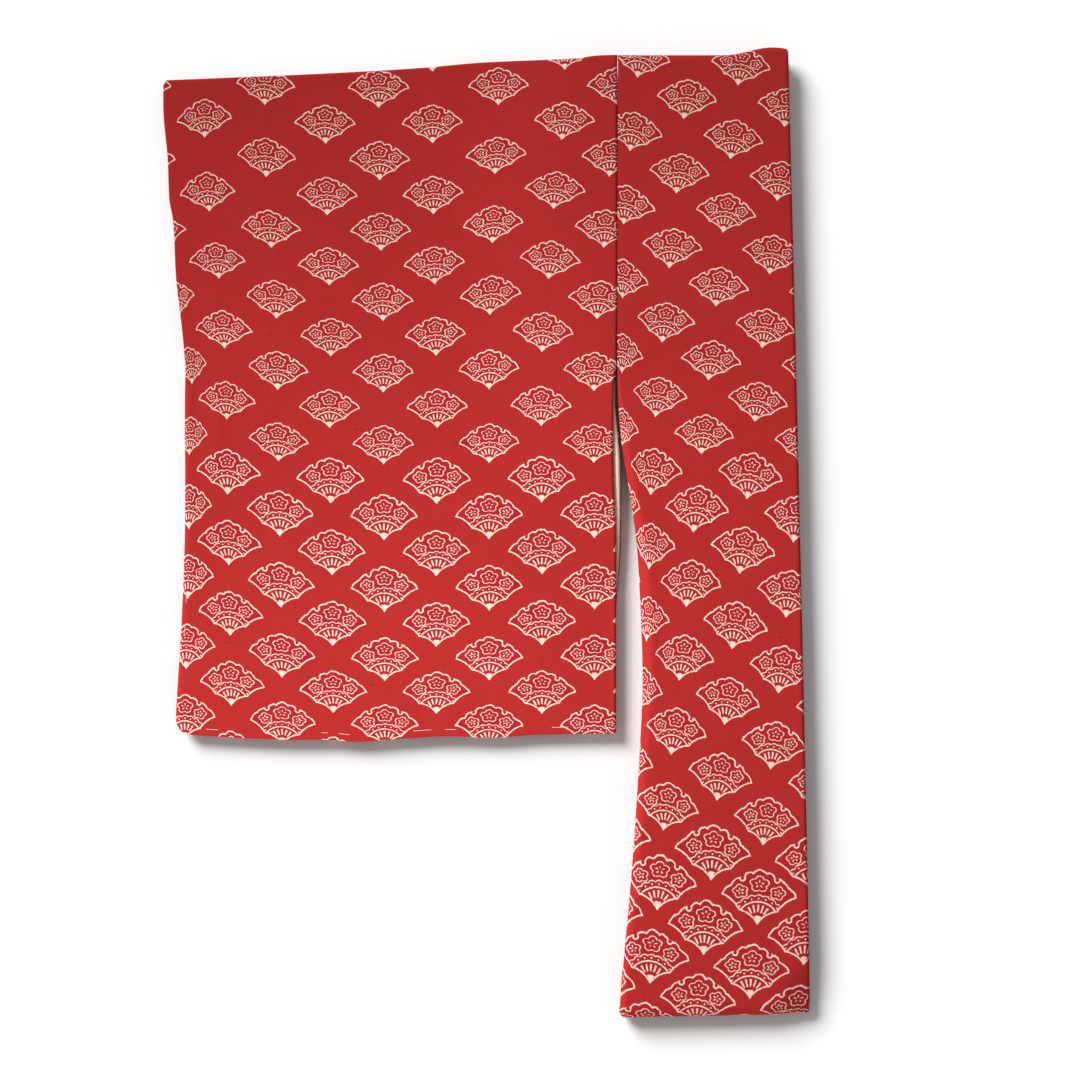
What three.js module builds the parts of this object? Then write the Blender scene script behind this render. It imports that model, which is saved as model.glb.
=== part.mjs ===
// Lined komon kimono, folded and lying flat: one sleeve is spread to the left,
// and the body is folded lengthwise in three and then in half at the hips.
// Millimetres, +Z up. The origin is under the middle of the folded garment, on
// the surface that it lies on. +Y points to the shoulder, +X away from the sleeve.
import * as THREE from 'three';

// ---- Driving dimensions --------------------------------------------------
const CLOTH = 1.5; // outer cloth and lining together, as one wall
const SEAM_GAP = 0.3; // between two pieces that are sewn or lie together

// The folded body is a pile whose two halves meet at the hip fold.
const PILE_HEIGHT = 19;
const HALF_PILE = PILE_HEIGHT / 2;
const LEAVES = 5; // folded edges that show in each half of the pile
const LEAF = HALF_PILE / LEAVES;
const SHOULDER_ROLL = 4.6; // radius of the shown panel's turn at the shoulder
const SHOULDER_TURN = 165; // degrees that the panel follows that turn
const TUCK = 25; // length of the shown panel under the hip fold
const CORE_CLEARANCE = 0.6; // between the panel's rolled sides and the layers in them
const SEAM_TURN = 30; // degrees up to which a side of the panel is a flat, sewn edge
const SIDE_INSET = 1.1; // of the lower half, which stays hidden from above
const HEM_INSET = 3; // of the hem edges behind the shoulder line
// One corner of the pile sags beyond a line through x and y; the angle in degrees is
// the way down, and start and end are distances beyond the line.
const CORNER_SAG = { x: 217.6, y: -350.7, angle: -31, start: -14, end: 22, depth: 7 };

// The sleeves lie on each other beside the pile and rise to its shoulder.
const UNDER_SLEEVE = 6.3; // both lined walls of the hidden sleeve
const LINING = 1.0;
const FAR_WALL_TOP = UNDER_SLEEVE + SEAM_GAP + CLOTH;
const LINING_TOP = FAR_WALL_TOP + SEAM_GAP + LINING;
const NEAR_WALL_TOP = LINING_TOP + SEAM_GAP + CLOTH;
const SLEEVE_RISE = PILE_HEIGHT - NEAR_WALL_TOP;
const RISE_RUN = 120; // width over which the sleeve climbs to the armhole seam
const ARMHOLE_END = 123; // y where the armhole seam stops and the sleeve's edge is free
const RISE_END = -25; // y where the free edge lies down on the sleeve below
const WRIST_END = 108; // y where the wrist opening stops and the edge is sewn
const SEWN_EDGE = { width: 5, drop: 1.25 }; // near wall bends down to the far wall
const HIDDEN_INSET = 0.7; // of the far wall's edges, which lie under the near wall's
const UNDER_INSET = 2.2; // of the hidden sleeve's edges
const CORNER = { bottom: 12, top: 3 }; // sleeve corners at the wrist side

// Middle of the whole outline, which is moved to the origin.
const OUTLINE_CENTRE = { x: 0.48, y: -0.107 };

// ---- Outlines, a row for each place where the edge changes its course ----------
const BODY_SIDE = [
  { y: 350, x: 96.0 },
  { y: 123, x: 95.6 },
  { y: 96, x: 96.2 },
  { y: 66, x: 98.8 },
  { y: 39, x: 103.0 },
  { y: -5, x: 109.6 },
  { y: -61, x: 112.9 },
  { y: -108, x: 114.2 },
  { y: -152, x: 112.5 },
  { y: -240, x: 106.7 },
  { y: -323, x: 99.3 },
  { y: -355.5, x: 97.1 },
];
const SLEEVE_SHOULDER = [
  { x: -237, y: 332.3 },
  { x: -191, y: 334.2 },
  { x: -121, y: 337.2 },
  { x: -51, y: 341.2 },
  { x: -4, y: 345.2 },
  { x: 66, y: 347.4 },
  { x: 79, y: 349.2 },
  { x: 96, y: 349.8 },
];
const SLEEVE_WRIST = [
  { y: 333, x: -237.0 },
  { y: 307, x: -236.9 },
  { y: 275, x: -233.9 },
  { y: 244, x: -232.6 },
  { y: 229, x: -229.9 },
  { y: 186, x: -227.6 },
  { y: 148, x: -223.2 },
  { y: 121, x: -221.0 },
  { y: 99, x: -221.4 },
  { y: 2, x: -221.4 },
  { y: -67, x: -223.9 },
  { y: -116, x: -227.0 },
  { y: -150, x: -228.8 },
];
const SLEEVE_BOTTOM = [
  { x: -229, y: -147.2 },
  { x: -197, y: -149.5 },
  { x: -148, y: -151.7 },
  { x: -115, y: -151.7 },
  { x: -95, y: -153.2 },
  { x: -63, y: -151.0 },
  { x: -31, y: -149.2 },
  { x: 5, y: -150.2 },
  { x: 37, y: -148.0 },
  { x: 95, y: -147.2 },
];
const SLEEVE_FREE_EDGE = [
  { y: 350, x: 95.7 },
  { y: 123, x: 95.2 },
  { y: 110, x: 93.4 },
  { y: 63, x: 92.7 },
  { y: 39, x: 93.2 },
  { y: -5, x: 94.9 },
  { y: -147, x: 95.0 },
];
const FAR_WALL_EDGE = [
  { y: 350, x: 95.6 },
  { y: 123, x: 94.9 },
  { y: 96, x: 94.6 },
  { y: 75, x: 96.4 },
  { y: 53, x: 98.4 },
  { y: -5, x: 98.6 },
  { y: -35, x: 97.0 },
  { y: -58, x: 94.8 },
  { y: -147, x: 94.4 },
];
// How the shown panel rolls over the pile's two sides: radius and turn in degrees.
const SIDE_ROLL = [
  { y: 350, radius: 1.8, turn: 22 },
  { y: 127, radius: 1.8, turn: 22 },
  { y: 108, radius: 3.0, turn: 60 },
  { y: 92, radius: 4.4, turn: 82 },
  { y: 76, radius: 5.8, turn: 92 },
  { y: 0, radius: 7.5, turn: 95 },
  { y: -150, radius: 7.5, turn: 95 },
  { y: -240, radius: 6.0, turn: 95 },
  { y: -356, radius: 4.6, turn: 95 },
];
const FOLD_ROLL = [
  { y: 356, radius: 2.1, turn: 95 },
  { y: 320, radius: 2.4, turn: 138 },
  { y: -356, radius: 2.6, turn: 138 },
];
// How far each leaf of the pile stands back, from the outside of the pile inwards.
const LEAF_INSETS = [
  { side: 0.5, fold: 0.3, hem: 1.6 },
  { side: 1.3, fold: 1.2, hem: 0.2 },
  { side: 0.2, fold: 0.5, hem: 2.4 },
  { side: 1.6, fold: 1.5, hem: 1.0 },
  { side: 0.8, fold: 0.2, hem: 3.0 },
];
// Soft swells of the near sleeve wall and of the body panel.
const SLEEVE_SWELLS = [
  { x: -150, y: 215, across: 60, along: 90, height: 1.2 },
  { x: -40, y: 60, across: 80, along: 70, height: 1.0 },
  { x: 20, y: 255, across: 55, along: 60, height: 0.9 },
  { x: -165, y: -60, across: 45, along: 60, height: 0.9 },
  { x: 30, y: -85, across: 60, along: 35, height: 1.1 },
];
const BODY_HOLLOWS = [
  { x: 160, y: 180, across: 40, along: 70, height: -0.25 },
  { x: 175, y: -60, across: 36, along: 90, height: -0.25 },
  { x: 195, y: -265, across: 32, along: 100, height: -2.0 },
];

// ---- Small helpers -----------------------------------------------------------
const mix = (a, b, t) => a + (b - a) * t;
const clamp01 = (t) => Math.min(1, Math.max(0, t));
const smooth = (from, to, value) => {
  const t = clamp01((value - from) / (to - from));
  return t * t * (3 - 2 * t);
};
const radians = (degrees) => (degrees * Math.PI) / 180;
const steps = (count, from = 0, to = 1) =>
  Array.from({ length: count + 1 }, (_, i) => mix(from, to, i / count));

// A smooth function through the rows of a table, level beyond its ends.
function through(rows, from, to) {
  const sorted = [...rows].sort((a, b) => a[from] - b[from]);
  const last = sorted.length - 1;
  const slope = (i) => {
    const a = sorted[Math.max(0, i - 1)];
    const b = sorted[Math.min(last, i + 1)];
    return (b[to] - a[to]) / (b[from] - a[from]);
  };
  return (value) => {
    if (value <= sorted[0][from]) return sorted[0][to];
    if (value >= sorted[last][from]) return sorted[last][to];
    let i = 0;
    while (sorted[i + 1][from] < value) i += 1;
    const width = sorted[i + 1][from] - sorted[i][from];
    const t = (value - sorted[i][from]) / width;
    const rise = sorted[i + 1][to] - sorted[i][to];
    const bend = slope(i) * width * (1 - t) - slope(i + 1) * width * t;
    return sorted[i][to] + rise * t * t * (3 - 2 * t) + bend * t * (1 - t);
  };
}

function swell(rows, x, y) {
  let height = 0;
  for (const row of rows) {
    const u = (x - row.x) / row.across;
    const v = (y - row.y) / row.along;
    height += row.height * Math.exp(-u * u - v * v);
  }
  return height;
}

// Closed solid of a bent box. place(u, v, w) gives the point of each grid corner on
// the six faces, where u, v and w are entries of the three lists.
function bentBox(us, vs, ws, place) {
  const points = [];
  const index = new Map();
  const vertex = (i, j, k) => {
    const key = `${i},${j},${k}`;
    if (!index.has(key)) {
      index.set(key, points.length / 3);
      points.push(...place(us[i], vs[j], ws[k]));
    }
    return index.get(key);
  };
  const triangles = [];
  const face = (rows, columns, corner, flipped) => {
    for (let i = 0; i < rows; i += 1) {
      for (let j = 0; j < columns; j += 1) {
        const a = corner(i, j);
        const b = corner(i + 1, j);
        const c = corner(i + 1, j + 1);
        const d = corner(i, j + 1);
        if (flipped) triangles.push(a, c, b, a, d, c);
        else triangles.push(a, b, c, a, c, d);
      }
    }
  };
  const [nu, nv, nw] = [us.length - 1, vs.length - 1, ws.length - 1];
  face(nu, nv, (i, j) => vertex(i, j, 0), true);
  face(nu, nv, (i, j) => vertex(i, j, nw), false);
  face(nv, nw, (j, k) => vertex(0, j, k), true);
  face(nv, nw, (j, k) => vertex(nu, j, k), false);
  face(nw, nu, (k, i) => vertex(i, 0, k), true);
  face(nw, nu, (k, i) => vertex(i, nv, k), false);
  if (signedVolume(points, triangles) < 0) triangles.reverse();
  const geometry = new THREE.BufferGeometry();
  geometry.setAttribute('position', new THREE.Float32BufferAttribute(points, 3));
  geometry.setIndex(triangles);
  geometry.computeVertexNormals();
  return geometry;
}

function signedVolume(points, triangles) {
  const corner = (i) => new THREE.Vector3().fromArray(points, 3 * triangles[i]);
  let volume = 0;
  for (let i = 0; i < triangles.length; i += 3) {
    volume += corner(i).dot(corner(i + 1).cross(corner(i + 2)));
  }
  return volume;
}

// ---- The folded body ---------------------------------------------------------
const bodySide = through(BODY_SIDE, 'y', 'x');
const sideRoll = {
  radius: through(SIDE_ROLL, 'y', 'radius'),
  turn: through(SIDE_ROLL, 'y', 'turn'),
};
const foldRoll = {
  radius: through(FOLD_ROLL, 'y', 'radius'),
  turn: through(FOLD_ROLL, 'y', 'turn'),
};
// The lengthwise fold at the right is nearly straight.
const bodyFold = (y) => {
  const t = clamp01((354.4 - y) / 706.2);
  return mix(220.6, 237.1, t) + 0.5 * Math.sin(Math.PI * t);
};
// The collar under the panel lifts the shoulder line on one side.
const shoulderLine = (x) => mix(349.8, 355.5, smooth(174, 209, x)) - smooth(212, 221, x);
const hipLine = (x) => mix(-355.5, -352.7, clamp01((x - 97.1) / 140));

// A station is a place on the way round the pile: over the shoulder roll, along the
// upper half, round the hip fold and back along the lower half.
const station = (leg, t) => ({ leg, t });
const stations = (leg, list) => list.map((t) => station(leg, t));
const ACROSS_BODY = steps(8);
const SEAM_END_ROWS = [0.306, 0.32, 0.332, 0.344, 0.356, 0.367, 0.378, 0.39];
const SAG_ROWS = [0.925, 0.95, 0.975, 1];
const ALONG_UPPER = [0.004, ...steps(6, 0.04, 0.27), ...SEAM_END_ROWS, ...steps(8, 0.42, 0.9), ...SAG_ROWS];
const ROUND_HIP = steps(9).slice(1);

// Share of its full height that the pile keeps at a place.
function sagged(x, y) {
  const angle = radians(CORNER_SAG.angle);
  const beyond = (x - CORNER_SAG.x) * Math.cos(angle) + (y - CORNER_SAG.y) * Math.sin(angle);
  return 1 - (CORNER_SAG.depth / PILE_HEIGHT) * smooth(CORNER_SAG.start, CORNER_SAG.end, beyond);
}

// Point at a station, a depth inside the outer surface of the pile.
function pilePoint(place, x, depth) {
  const [, y, z] = unsaggedPoint(place, x, depth);
  return [x, y, z * sagged(x, y)];
}

function unsaggedPoint({ leg, t }, x, depth) {
  const shoulder = shoulderLine(x) - SHOULDER_ROLL;
  const hip = hipLine(x) + HALF_PILE;
  if (leg === 'shoulder') {
    const angle = radians(SHOULDER_TURN * t);
    const reach = SHOULDER_ROLL - depth;
    const z = PILE_HEIGHT - SHOULDER_ROLL + reach * Math.cos(angle);
    return [x, shoulder + reach * Math.sin(angle), z];
  }
  if (leg === 'upper') {
    const y = mix(shoulder, hip, t);
    const fade = Math.sin(Math.PI * clamp01(t));
    return [x, y, PILE_HEIGHT - depth + fade * swell(BODY_HOLLOWS, x, y)];
  }
  if (leg === 'hip') {
    const angle = Math.PI * t;
    const reach = HALF_PILE - depth;
    return [x, hip - reach * Math.sin(angle), HALF_PILE + reach * Math.cos(angle)];
  }
  if (leg === 'tuck') return [x, hip + t, depth];
  const hem = shoulderLine(x) - HEM_INSET;
  return [x, mix(hip + TUCK + SEAM_GAP, hem, t), depth];
}

const stationY = (place) => pilePoint(place, 160, 0)[1];

// Outer line of the shown panel across one station: the side roll, the flat and the
// fold roll. Returns the edge point's x, its depth and the way in.
function panelLine(place, u) {
  const { side, fold } = rollsAt(place);
  if (u < 0) return onRoll(side, -u);
  if (u > 1) return onRoll(fold, u - 1);
  return { x: mix(centreOf(side), centreOf(fold), u), depth: 0, inX: 0, inDepth: 1 };
}

// The rolls at the two sides of a station; way is the side's direction along X.
function rollsAt(place) {
  const y = stationY(place);
  return {
    side: {
      radius: sideRoll.radius(y),
      turn: sideRoll.turn(y),
      edge: bodySide(y) + SEAM_GAP / 2,
      way: -1,
    },
    fold: { radius: foldRoll.radius(y), turn: foldRoll.turn(y), edge: bodyFold(y), way: 1 },
  };
}

const rollWidth = (roll) => roll.radius * Math.sin(radians(Math.min(roll.turn, 90)));
const rollDepth = (roll) => roll.radius * (1 - Math.cos(radians(roll.turn)));
const centreOf = (roll) => roll.edge - roll.way * rollWidth(roll);

function onRoll(roll, t) {
  const angle = radians(roll.turn * t);
  return {
    x: centreOf(roll) + roll.way * roll.radius * Math.sin(angle),
    depth: roll.radius * (1 - Math.cos(angle)),
    inX: -roll.way * Math.sin(angle),
    inDepth: Math.cos(angle),
  };
}

function shownPanel() {
  const across = [...steps(5, -1, 0), ...ACROSS_BODY.slice(1), ...steps(5, 1, 2).slice(1)];
  const along = [
    ...stations('shoulder', steps(5, 1, 0)),
    ...stations('upper', ALONG_UPPER),
    ...stations('hip', ROUND_HIP),
    ...stations('tuck', [TUCK]),
  ];
  return bentBox(across, along, [0, CLOTH], (u, place, inside) => {
    const line = panelLine(place, u);
    const x = line.x + line.inX * inside;
    return pilePoint(place, x, line.depth + line.inDepth * inside);
  });
}

// How far a leaf's round edge stands back at a depth in the pile.
function leafEdge(depth, column) {
  const leaf = Math.min(LEAVES - 1, Math.max(0, Math.floor(depth / LEAF)));
  const off = 2 * clamp01(depth / LEAF - leaf) - 1;
  const round = (LEAF / 2) * (1 - Math.sqrt(Math.max(0, 1 - off * off)));
  return LEAF_INSETS[leaf][column] + round;
}

// x of the hidden layers' edge at a depth, inside the panel's roll or flush with it.
function layerEdge(place, depth, roll, column) {
  const lower = place.leg === 'lower';
  const turned = roll.turn > SEAM_TURN;
  const reach = turned ? Math.max(roll.radius, rollDepth(roll)) : rollDepth(roll);
  if (lower || depth > reach + SEAM_GAP) {
    const inset = leafEdge(depth, column) + (lower ? SIDE_INSET : 0);
    return roll.edge - roll.way * inset;
  }
  const inner = Math.max(0, roll.radius - CLOTH - CORE_CLEARANCE);
  const open = depth > roll.radius && roll.turn < 100;
  const off = open ? 0 : Math.min(inner, Math.abs(roll.radius - depth));
  return centreOf(roll) + roll.way * Math.sqrt(inner * inner - off * off);
}

function hiddenLayers() {
  const innermost = HALF_PILE - SEAM_GAP;
  const under = CLOTH + SEAM_GAP;
  const levels = [];
  for (let leaf = 0; leaf < LEAVES; leaf += 1) {
    for (const part of [0, 0.3, 0.7]) levels.push((leaf + part) / LEAVES);
  }
  levels.push(1);
  const along = [
    ...stations('upper', [0, ...ALONG_UPPER]),
    ...stations('hip', ROUND_HIP),
    ...stations('tuck', [TUCK + SEAM_GAP]),
    ...stations('lower', steps(11)),
  ];
  return bentBox(ACROSS_BODY, along, levels, (u, place, level) => {
    const outermost = place.leg === 'lower' ? 0 : under;
    const depth = mix(outermost, innermost, level);
    const { side, fold } = rollsAt(place);
    const end = place.leg === 'upper' && place.t === 0;
    const left = end ? centreOf(side) + CLOTH : layerEdge(place, depth, side, 'side');
    const right = end ? centreOf(fold) - CLOTH : layerEdge(place, depth, fold, 'fold');
    const point = pilePoint(place, mix(left, right, u), depth);
    if (end) point[1] += shoulderFill(depth);
    if (place.leg === 'lower' && place.t === 1) point[1] -= leafEdge(depth, 'hem');
    return point;
  });
}

// The layers' end swells into the shown panel's turn at the shoulder.
function shoulderFill(depth) {
  const radius = SHOULDER_ROLL - CLOTH - CORE_CLEARANCE;
  const off = depth - SHOULDER_ROLL;
  return Math.sqrt(Math.max(0, radius * radius - off * off)) - SEAM_GAP;
}

// ---- The sleeves -------------------------------------------------------------
const sleeveShoulder = through(SLEEVE_SHOULDER, 'x', 'y');
const sleeveBottom = through(SLEEVE_BOTTOM, 'x', 'y');
const sleeveWrist = through(SLEEVE_WRIST, 'y', 'x');
const sleeveFreeEdge = through(SLEEVE_FREE_EDGE, 'y', 'x');
const farWallEdge = through(FAR_WALL_EDGE, 'y', 'x');

// Height that the spread sleeve gains towards the armhole seam.
function riseAt(x, y) {
  const t = clamp01((bodySide(y) - x) / RISE_RUN);
  const climb = 0.5 * (1 + Math.cos(Math.PI * t));
  return SLEEVE_RISE * climb * smooth(RISE_END, ARMHOLE_END, y);
}

// Plan of the sleeve: s runs from the wrist to the body, t from bottom to shoulder.
function sleevePlan(s, t, rightEdge, inset) {
  let x = mix(-225, 95, s);
  let y = 0;
  for (let pass = 0; pass < 4; pass += 1) {
    y = mix(sleeveBottom(x) + inset, sleeveShoulder(x) - inset, t);
    x = mix(sleeveWrist(y) + inset, rightEdge(y), s);
  }
  const corner = { x: sleeveWrist(-150) + inset, y: sleeveBottom(-229) + inset };
  [x, y] = roundCorner(x, y, corner, CORNER.bottom, 1);
  corner.x = sleeveWrist(333) + inset;
  corner.y = sleeveShoulder(-237) - inset;
  return roundCorner(x, y, corner, CORNER.top, -1);
}

// Draws a square corner of the wrist side in to a round one; up is 1 at the bottom.
function roundCorner(x, y, corner, radius, up) {
  const middle = { x: corner.x + radius, y: corner.y + up * radius };
  const a = (middle.x - x) / radius;
  const b = ((middle.y - y) * up) / radius;
  if (a <= 0 || b <= 0) return [x, y];
  const scale = Math.max(a, b) / Math.hypot(a, b);
  return [middle.x - a * scale * radius, middle.y - up * b * scale * radius];
}

// The near wall bends down to the far one along its sewn wrist side and bottom.
function sewnDrop(x, y) {
  const bend = (distance) => {
    const t = clamp01(1 - distance / SEWN_EDGE.width);
    return SEWN_EDGE.drop * (1 - Math.sqrt(1 - t * t));
  };
  const sewnSide = 1 - smooth(WRIST_END - 8, WRIST_END + 8, y);
  const side = bend(x - sleeveWrist(y)) * sewnSide;
  return Math.max(side, bend(y - sleeveBottom(x)));
}

const nearTop = (x, y) => {
  const fade = smooth(0, 30, sleeveShoulder(x) - y);
  const height = NEAR_WALL_TOP + riseAt(x, y) - sewnDrop(x, y);
  return height + fade * swell(SLEEVE_SWELLS, x, y) * (1 - smooth(60, 90, x));
};
const farBottom = (x, y) => UNDER_SLEEVE + SEAM_GAP + riseAt(x, y);

// Grid lines, closer together where the sewn edges bend.
const ACROSS_SLEEVE = [0, 0.004, 0.012, 0.05, 0.2, 0.36, 0.5, ...steps(6, 0.6, 0.96), 1];
const ALONG_SLEEVE = [0, 0.003, 0.009, 0.03, 0.1, 0.17, ...steps(7, 0.23, 0.57), ...steps(4, 0.68, 1)];

// One width of cloth: the near wall, the fold along the shoulder and the far wall.
function shownSleeve() {
  const near = ALONG_SLEEVE.slice(0, -1).map((t) => station('near', t));
  const turn = steps(6).map((t) => station('turn', t));
  const far = ALONG_SLEEVE.slice(0, -1).reverse().map((t) => station('far', t));
  const foldRadius = (NEAR_WALL_TOP - UNDER_SLEEVE - SEAM_GAP) / 2;
  const along = [...near, ...turn, ...far];
  return bentBox(ACROSS_SLEEVE, along, [0, CLOTH], (s, place, inside) => {
    if (place.leg === 'near') {
      const [x, y] = sleevePlan(s, mix(0, 0.993, place.t), sleeveFreeEdge, 0);
      return [x, y, nearTop(x, y) - inside];
    }
    if (place.leg === 'far') {
      const [x, y] = sleevePlan(s, place.t, farWallEdge, HIDDEN_INSET);
      return [x, y, farBottom(x, y) + inside];
    }
    const [x, edge] = sleevePlan(s, 1, sleeveFreeEdge, 0);
    const angle = Math.PI * place.t;
    const reach = foldRadius - inside;
    const middle = farBottom(x, edge) + foldRadius;
    const y = edge - foldRadius + reach * Math.sin(angle);
    return [x, y, middle + reach * Math.cos(angle)];
  });
}

// The lining shows along the open edge of the sleeve, on the far wall.
function sleeveLining() {
  const across = [0.9, 0.96, 0.9975];
  const along = ALONG_SLEEVE.filter((t) => t > 0.005 && t < 0.53);
  return bentBox(across, along, [0, LINING], (s, t, inside) => {
    const [x, y] = sleevePlan(s, t, farWallEdge, HIDDEN_INSET);
    return [x, y, farBottom(x, y) + CLOTH + SEAM_GAP + inside];
  });
}

// The other sleeve lies below, its two walls closed to one layered solid.
function hiddenSleeve() {
  const levels = [0, 0.25, 0.5, 0.75, 1];
  const rightEdge = (y) => farWallEdge(y) - UNDER_INSET;
  const along = [...ALONG_SLEEVE].reverse(); // as the far wall runs, so that they match
  return bentBox(ACROSS_SLEEVE, along, levels, (s, t, level) => {
    const [x, y] = sleevePlan(s, t, rightEdge, UNDER_INSET);
    const wallEdge = 2 * ((level * 2) % 1) - 1;
    const back = 0.8 * Math.abs(wallEdge);
    const [wrist, body] = [s === 0, s === 1].map((end) => (end ? back : 0));
    const [bottom, shoulder] = [t === 0, t === 1].map((end) => (end ? back : 0));
    const z = riseAt(x, y) + level * UNDER_SLEEVE;
    return [x + wrist - body, y + bottom - shoulder, z];
  });
}

// ---- Assembly ----------------------------------------------------------------
const printedCloth = new THREE.MeshStandardMaterial({
  color: 0xb42a2b,
  roughness: 0.85,
  metalness: 0,
});
const liningCloth = new THREE.MeshStandardMaterial({
  color: 0xcdb79a,
  roughness: 0.7,
  metalness: 0,
});

function piece(name, geometry, material) {
  const mesh = new THREE.Mesh(geometry, material);
  mesh.name = name;
  return mesh;
}

const kimono = new THREE.Group();
kimono.position.set(-OUTLINE_CENTRE.x, -OUTLINE_CENTRE.y, 0);
kimono.add(
  piece('body_panel_shown', shownPanel(), printedCloth),
  piece('body_folded_layers', hiddenLayers(), printedCloth),
  piece('sleeve_shown', shownSleeve(), printedCloth),
  piece('sleeve_lining_at_open_edge', sleeveLining(), liningCloth),
  piece('sleeve_folded_under', hiddenSleeve(), printedCloth),
);

export default kimono;
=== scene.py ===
"""Looks of a lined komon kimono that lies folded, with one sleeve spread to the left.

Sizes are in millimetres, and positions are turned to metres where a mesh is made. The
origin is under the middle of the garment. +Y points to the shoulder and +X away from
the sleeve.
"""

import logging
import math
from bisect import bisect_right
from dataclasses import dataclass
from enum import Enum
from typing import Callable, Iterable, NamedTuple, Sequence

import bmesh
import bpy
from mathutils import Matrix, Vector


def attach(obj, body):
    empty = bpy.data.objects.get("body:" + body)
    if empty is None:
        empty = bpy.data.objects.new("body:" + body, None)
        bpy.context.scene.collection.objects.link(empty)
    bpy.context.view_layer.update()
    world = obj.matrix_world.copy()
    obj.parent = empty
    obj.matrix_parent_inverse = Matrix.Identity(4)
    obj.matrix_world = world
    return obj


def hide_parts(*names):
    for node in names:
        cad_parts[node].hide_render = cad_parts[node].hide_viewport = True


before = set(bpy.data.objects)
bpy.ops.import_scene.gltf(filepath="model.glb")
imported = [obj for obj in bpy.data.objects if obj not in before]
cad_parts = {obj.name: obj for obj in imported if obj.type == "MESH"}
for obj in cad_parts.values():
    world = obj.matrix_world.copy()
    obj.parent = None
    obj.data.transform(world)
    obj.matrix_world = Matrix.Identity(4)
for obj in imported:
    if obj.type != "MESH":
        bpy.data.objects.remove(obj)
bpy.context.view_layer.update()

LOG = logging.getLogger("kimono")
MM = 0.001
BODY = "root"
OUTLINE_CENTRE = Vector((0.48, -0.107, 0.0))
CLOTH = 1.5
SEAM_GAP = 0.3
MERGE = 1e-6
UV_PRINT = "Print"
UV_CLOTH = "Cloth"
UV_PITCH = "Pitch"


# ---- Tables ------------------------------------------------------------------------


class EdgeX(NamedTuple):
    """Where an upright edge lies: x at a height y of the plan."""

    y: float
    x: float


class EdgeY(NamedTuple):
    """Where a level edge lies: y at a place x of the plan."""

    x: float
    y: float


class Roll(NamedTuple):
    """How far the cloth rolls over a side of the pile at y."""

    y: float
    radius: float
    turn: float


class Leaf(NamedTuple):
    """How far one folded leaf of the pile stands back at its three open sides."""

    side: float
    fold: float
    hem: float


class Swell(NamedTuple):
    """A soft rise of the cloth, or a hollow where the height is negative."""

    x: float
    y: float
    across: float
    along: float
    height: float


class Crease(NamedTuple):
    """A long soft ridge, or a trough where the height is negative.

    The angle is in degrees from +X, and length and width are half sizes.
    """

    x: float
    y: float
    angle: float
    length: float
    width: float
    height: float


class Stitch(NamedTuple):
    """A basting stitch: where it comes up along its edge, and its length."""

    start: float
    length: float


class Fade(NamedTuple):
    """A soft step from 0 at the start to 1 at the end."""

    start: float
    end: float

    def at(self, value: float) -> float:
        """Return how far the step has gone at a value."""
        return smooth(self.start, self.end, value)


BODY_SIDE = (
    EdgeX(350, 96.0),
    EdgeX(123, 95.6),
    EdgeX(96, 96.2),
    EdgeX(66, 98.8),
    EdgeX(39, 103.0),
    EdgeX(-5, 109.6),
    EdgeX(-61, 112.9),
    EdgeX(-108, 114.2),
    EdgeX(-152, 112.5),
    EdgeX(-240, 106.7),
    EdgeX(-323, 99.3),
    EdgeX(-355.5, 97.1),
)
SLEEVE_SHOULDER = (
    EdgeY(-237, 332.3),
    EdgeY(-191, 334.2),
    EdgeY(-121, 337.2),
    EdgeY(-51, 341.2),
    EdgeY(-4, 345.2),
    EdgeY(66, 347.4),
    EdgeY(79, 349.2),
    EdgeY(96, 349.8),
)
SLEEVE_WRIST = (
    EdgeX(333, -237.0),
    EdgeX(307, -236.9),
    EdgeX(275, -233.9),
    EdgeX(244, -232.6),
    EdgeX(229, -229.9),
    EdgeX(186, -227.6),
    EdgeX(148, -223.2),
    EdgeX(121, -221.0),
    EdgeX(99, -221.4),
    EdgeX(2, -221.4),
    EdgeX(-67, -223.9),
    EdgeX(-116, -227.0),
    EdgeX(-150, -228.8),
)
SLEEVE_BOTTOM = (
    EdgeY(-229, -147.2),
    EdgeY(-197, -149.5),
    EdgeY(-148, -151.7),
    EdgeY(-115, -151.7),
    EdgeY(-95, -153.2),
    EdgeY(-63, -151.0),
    EdgeY(-31, -149.2),
    EdgeY(5, -150.2),
    EdgeY(37, -148.0),
    EdgeY(95, -147.2),
)
SLEEVE_FREE_EDGE = (
    EdgeX(350, 95.7),
    EdgeX(123, 95.2),
    EdgeX(110, 93.4),
    EdgeX(63, 92.7),
    EdgeX(39, 93.2),
    EdgeX(-5, 94.9),
    EdgeX(-147, 95.0),
)
FAR_WALL_EDGE = (
    EdgeX(350, 95.6),
    EdgeX(123, 94.9),
    EdgeX(96, 94.6),
    EdgeX(75, 96.4),
    EdgeX(53, 98.4),
    EdgeX(-5, 98.6),
    EdgeX(-35, 97.0),
    EdgeX(-58, 94.8),
    EdgeX(-147, 94.4),
)
SIDE_ROLL = (
    Roll(350, 1.8, 22),
    Roll(127, 1.8, 22),
    Roll(108, 3.0, 60),
    Roll(92, 4.4, 82),
    Roll(76, 5.8, 92),
    Roll(0, 7.5, 95),
    Roll(-150, 7.5, 95),
    Roll(-240, 6.0, 95),
    Roll(-356, 4.6, 95),
)
FOLD_ROLL = (
    Roll(356, 2.1, 95),
    Roll(320, 2.4, 138),
    Roll(-356, 2.6, 138),
)
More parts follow.
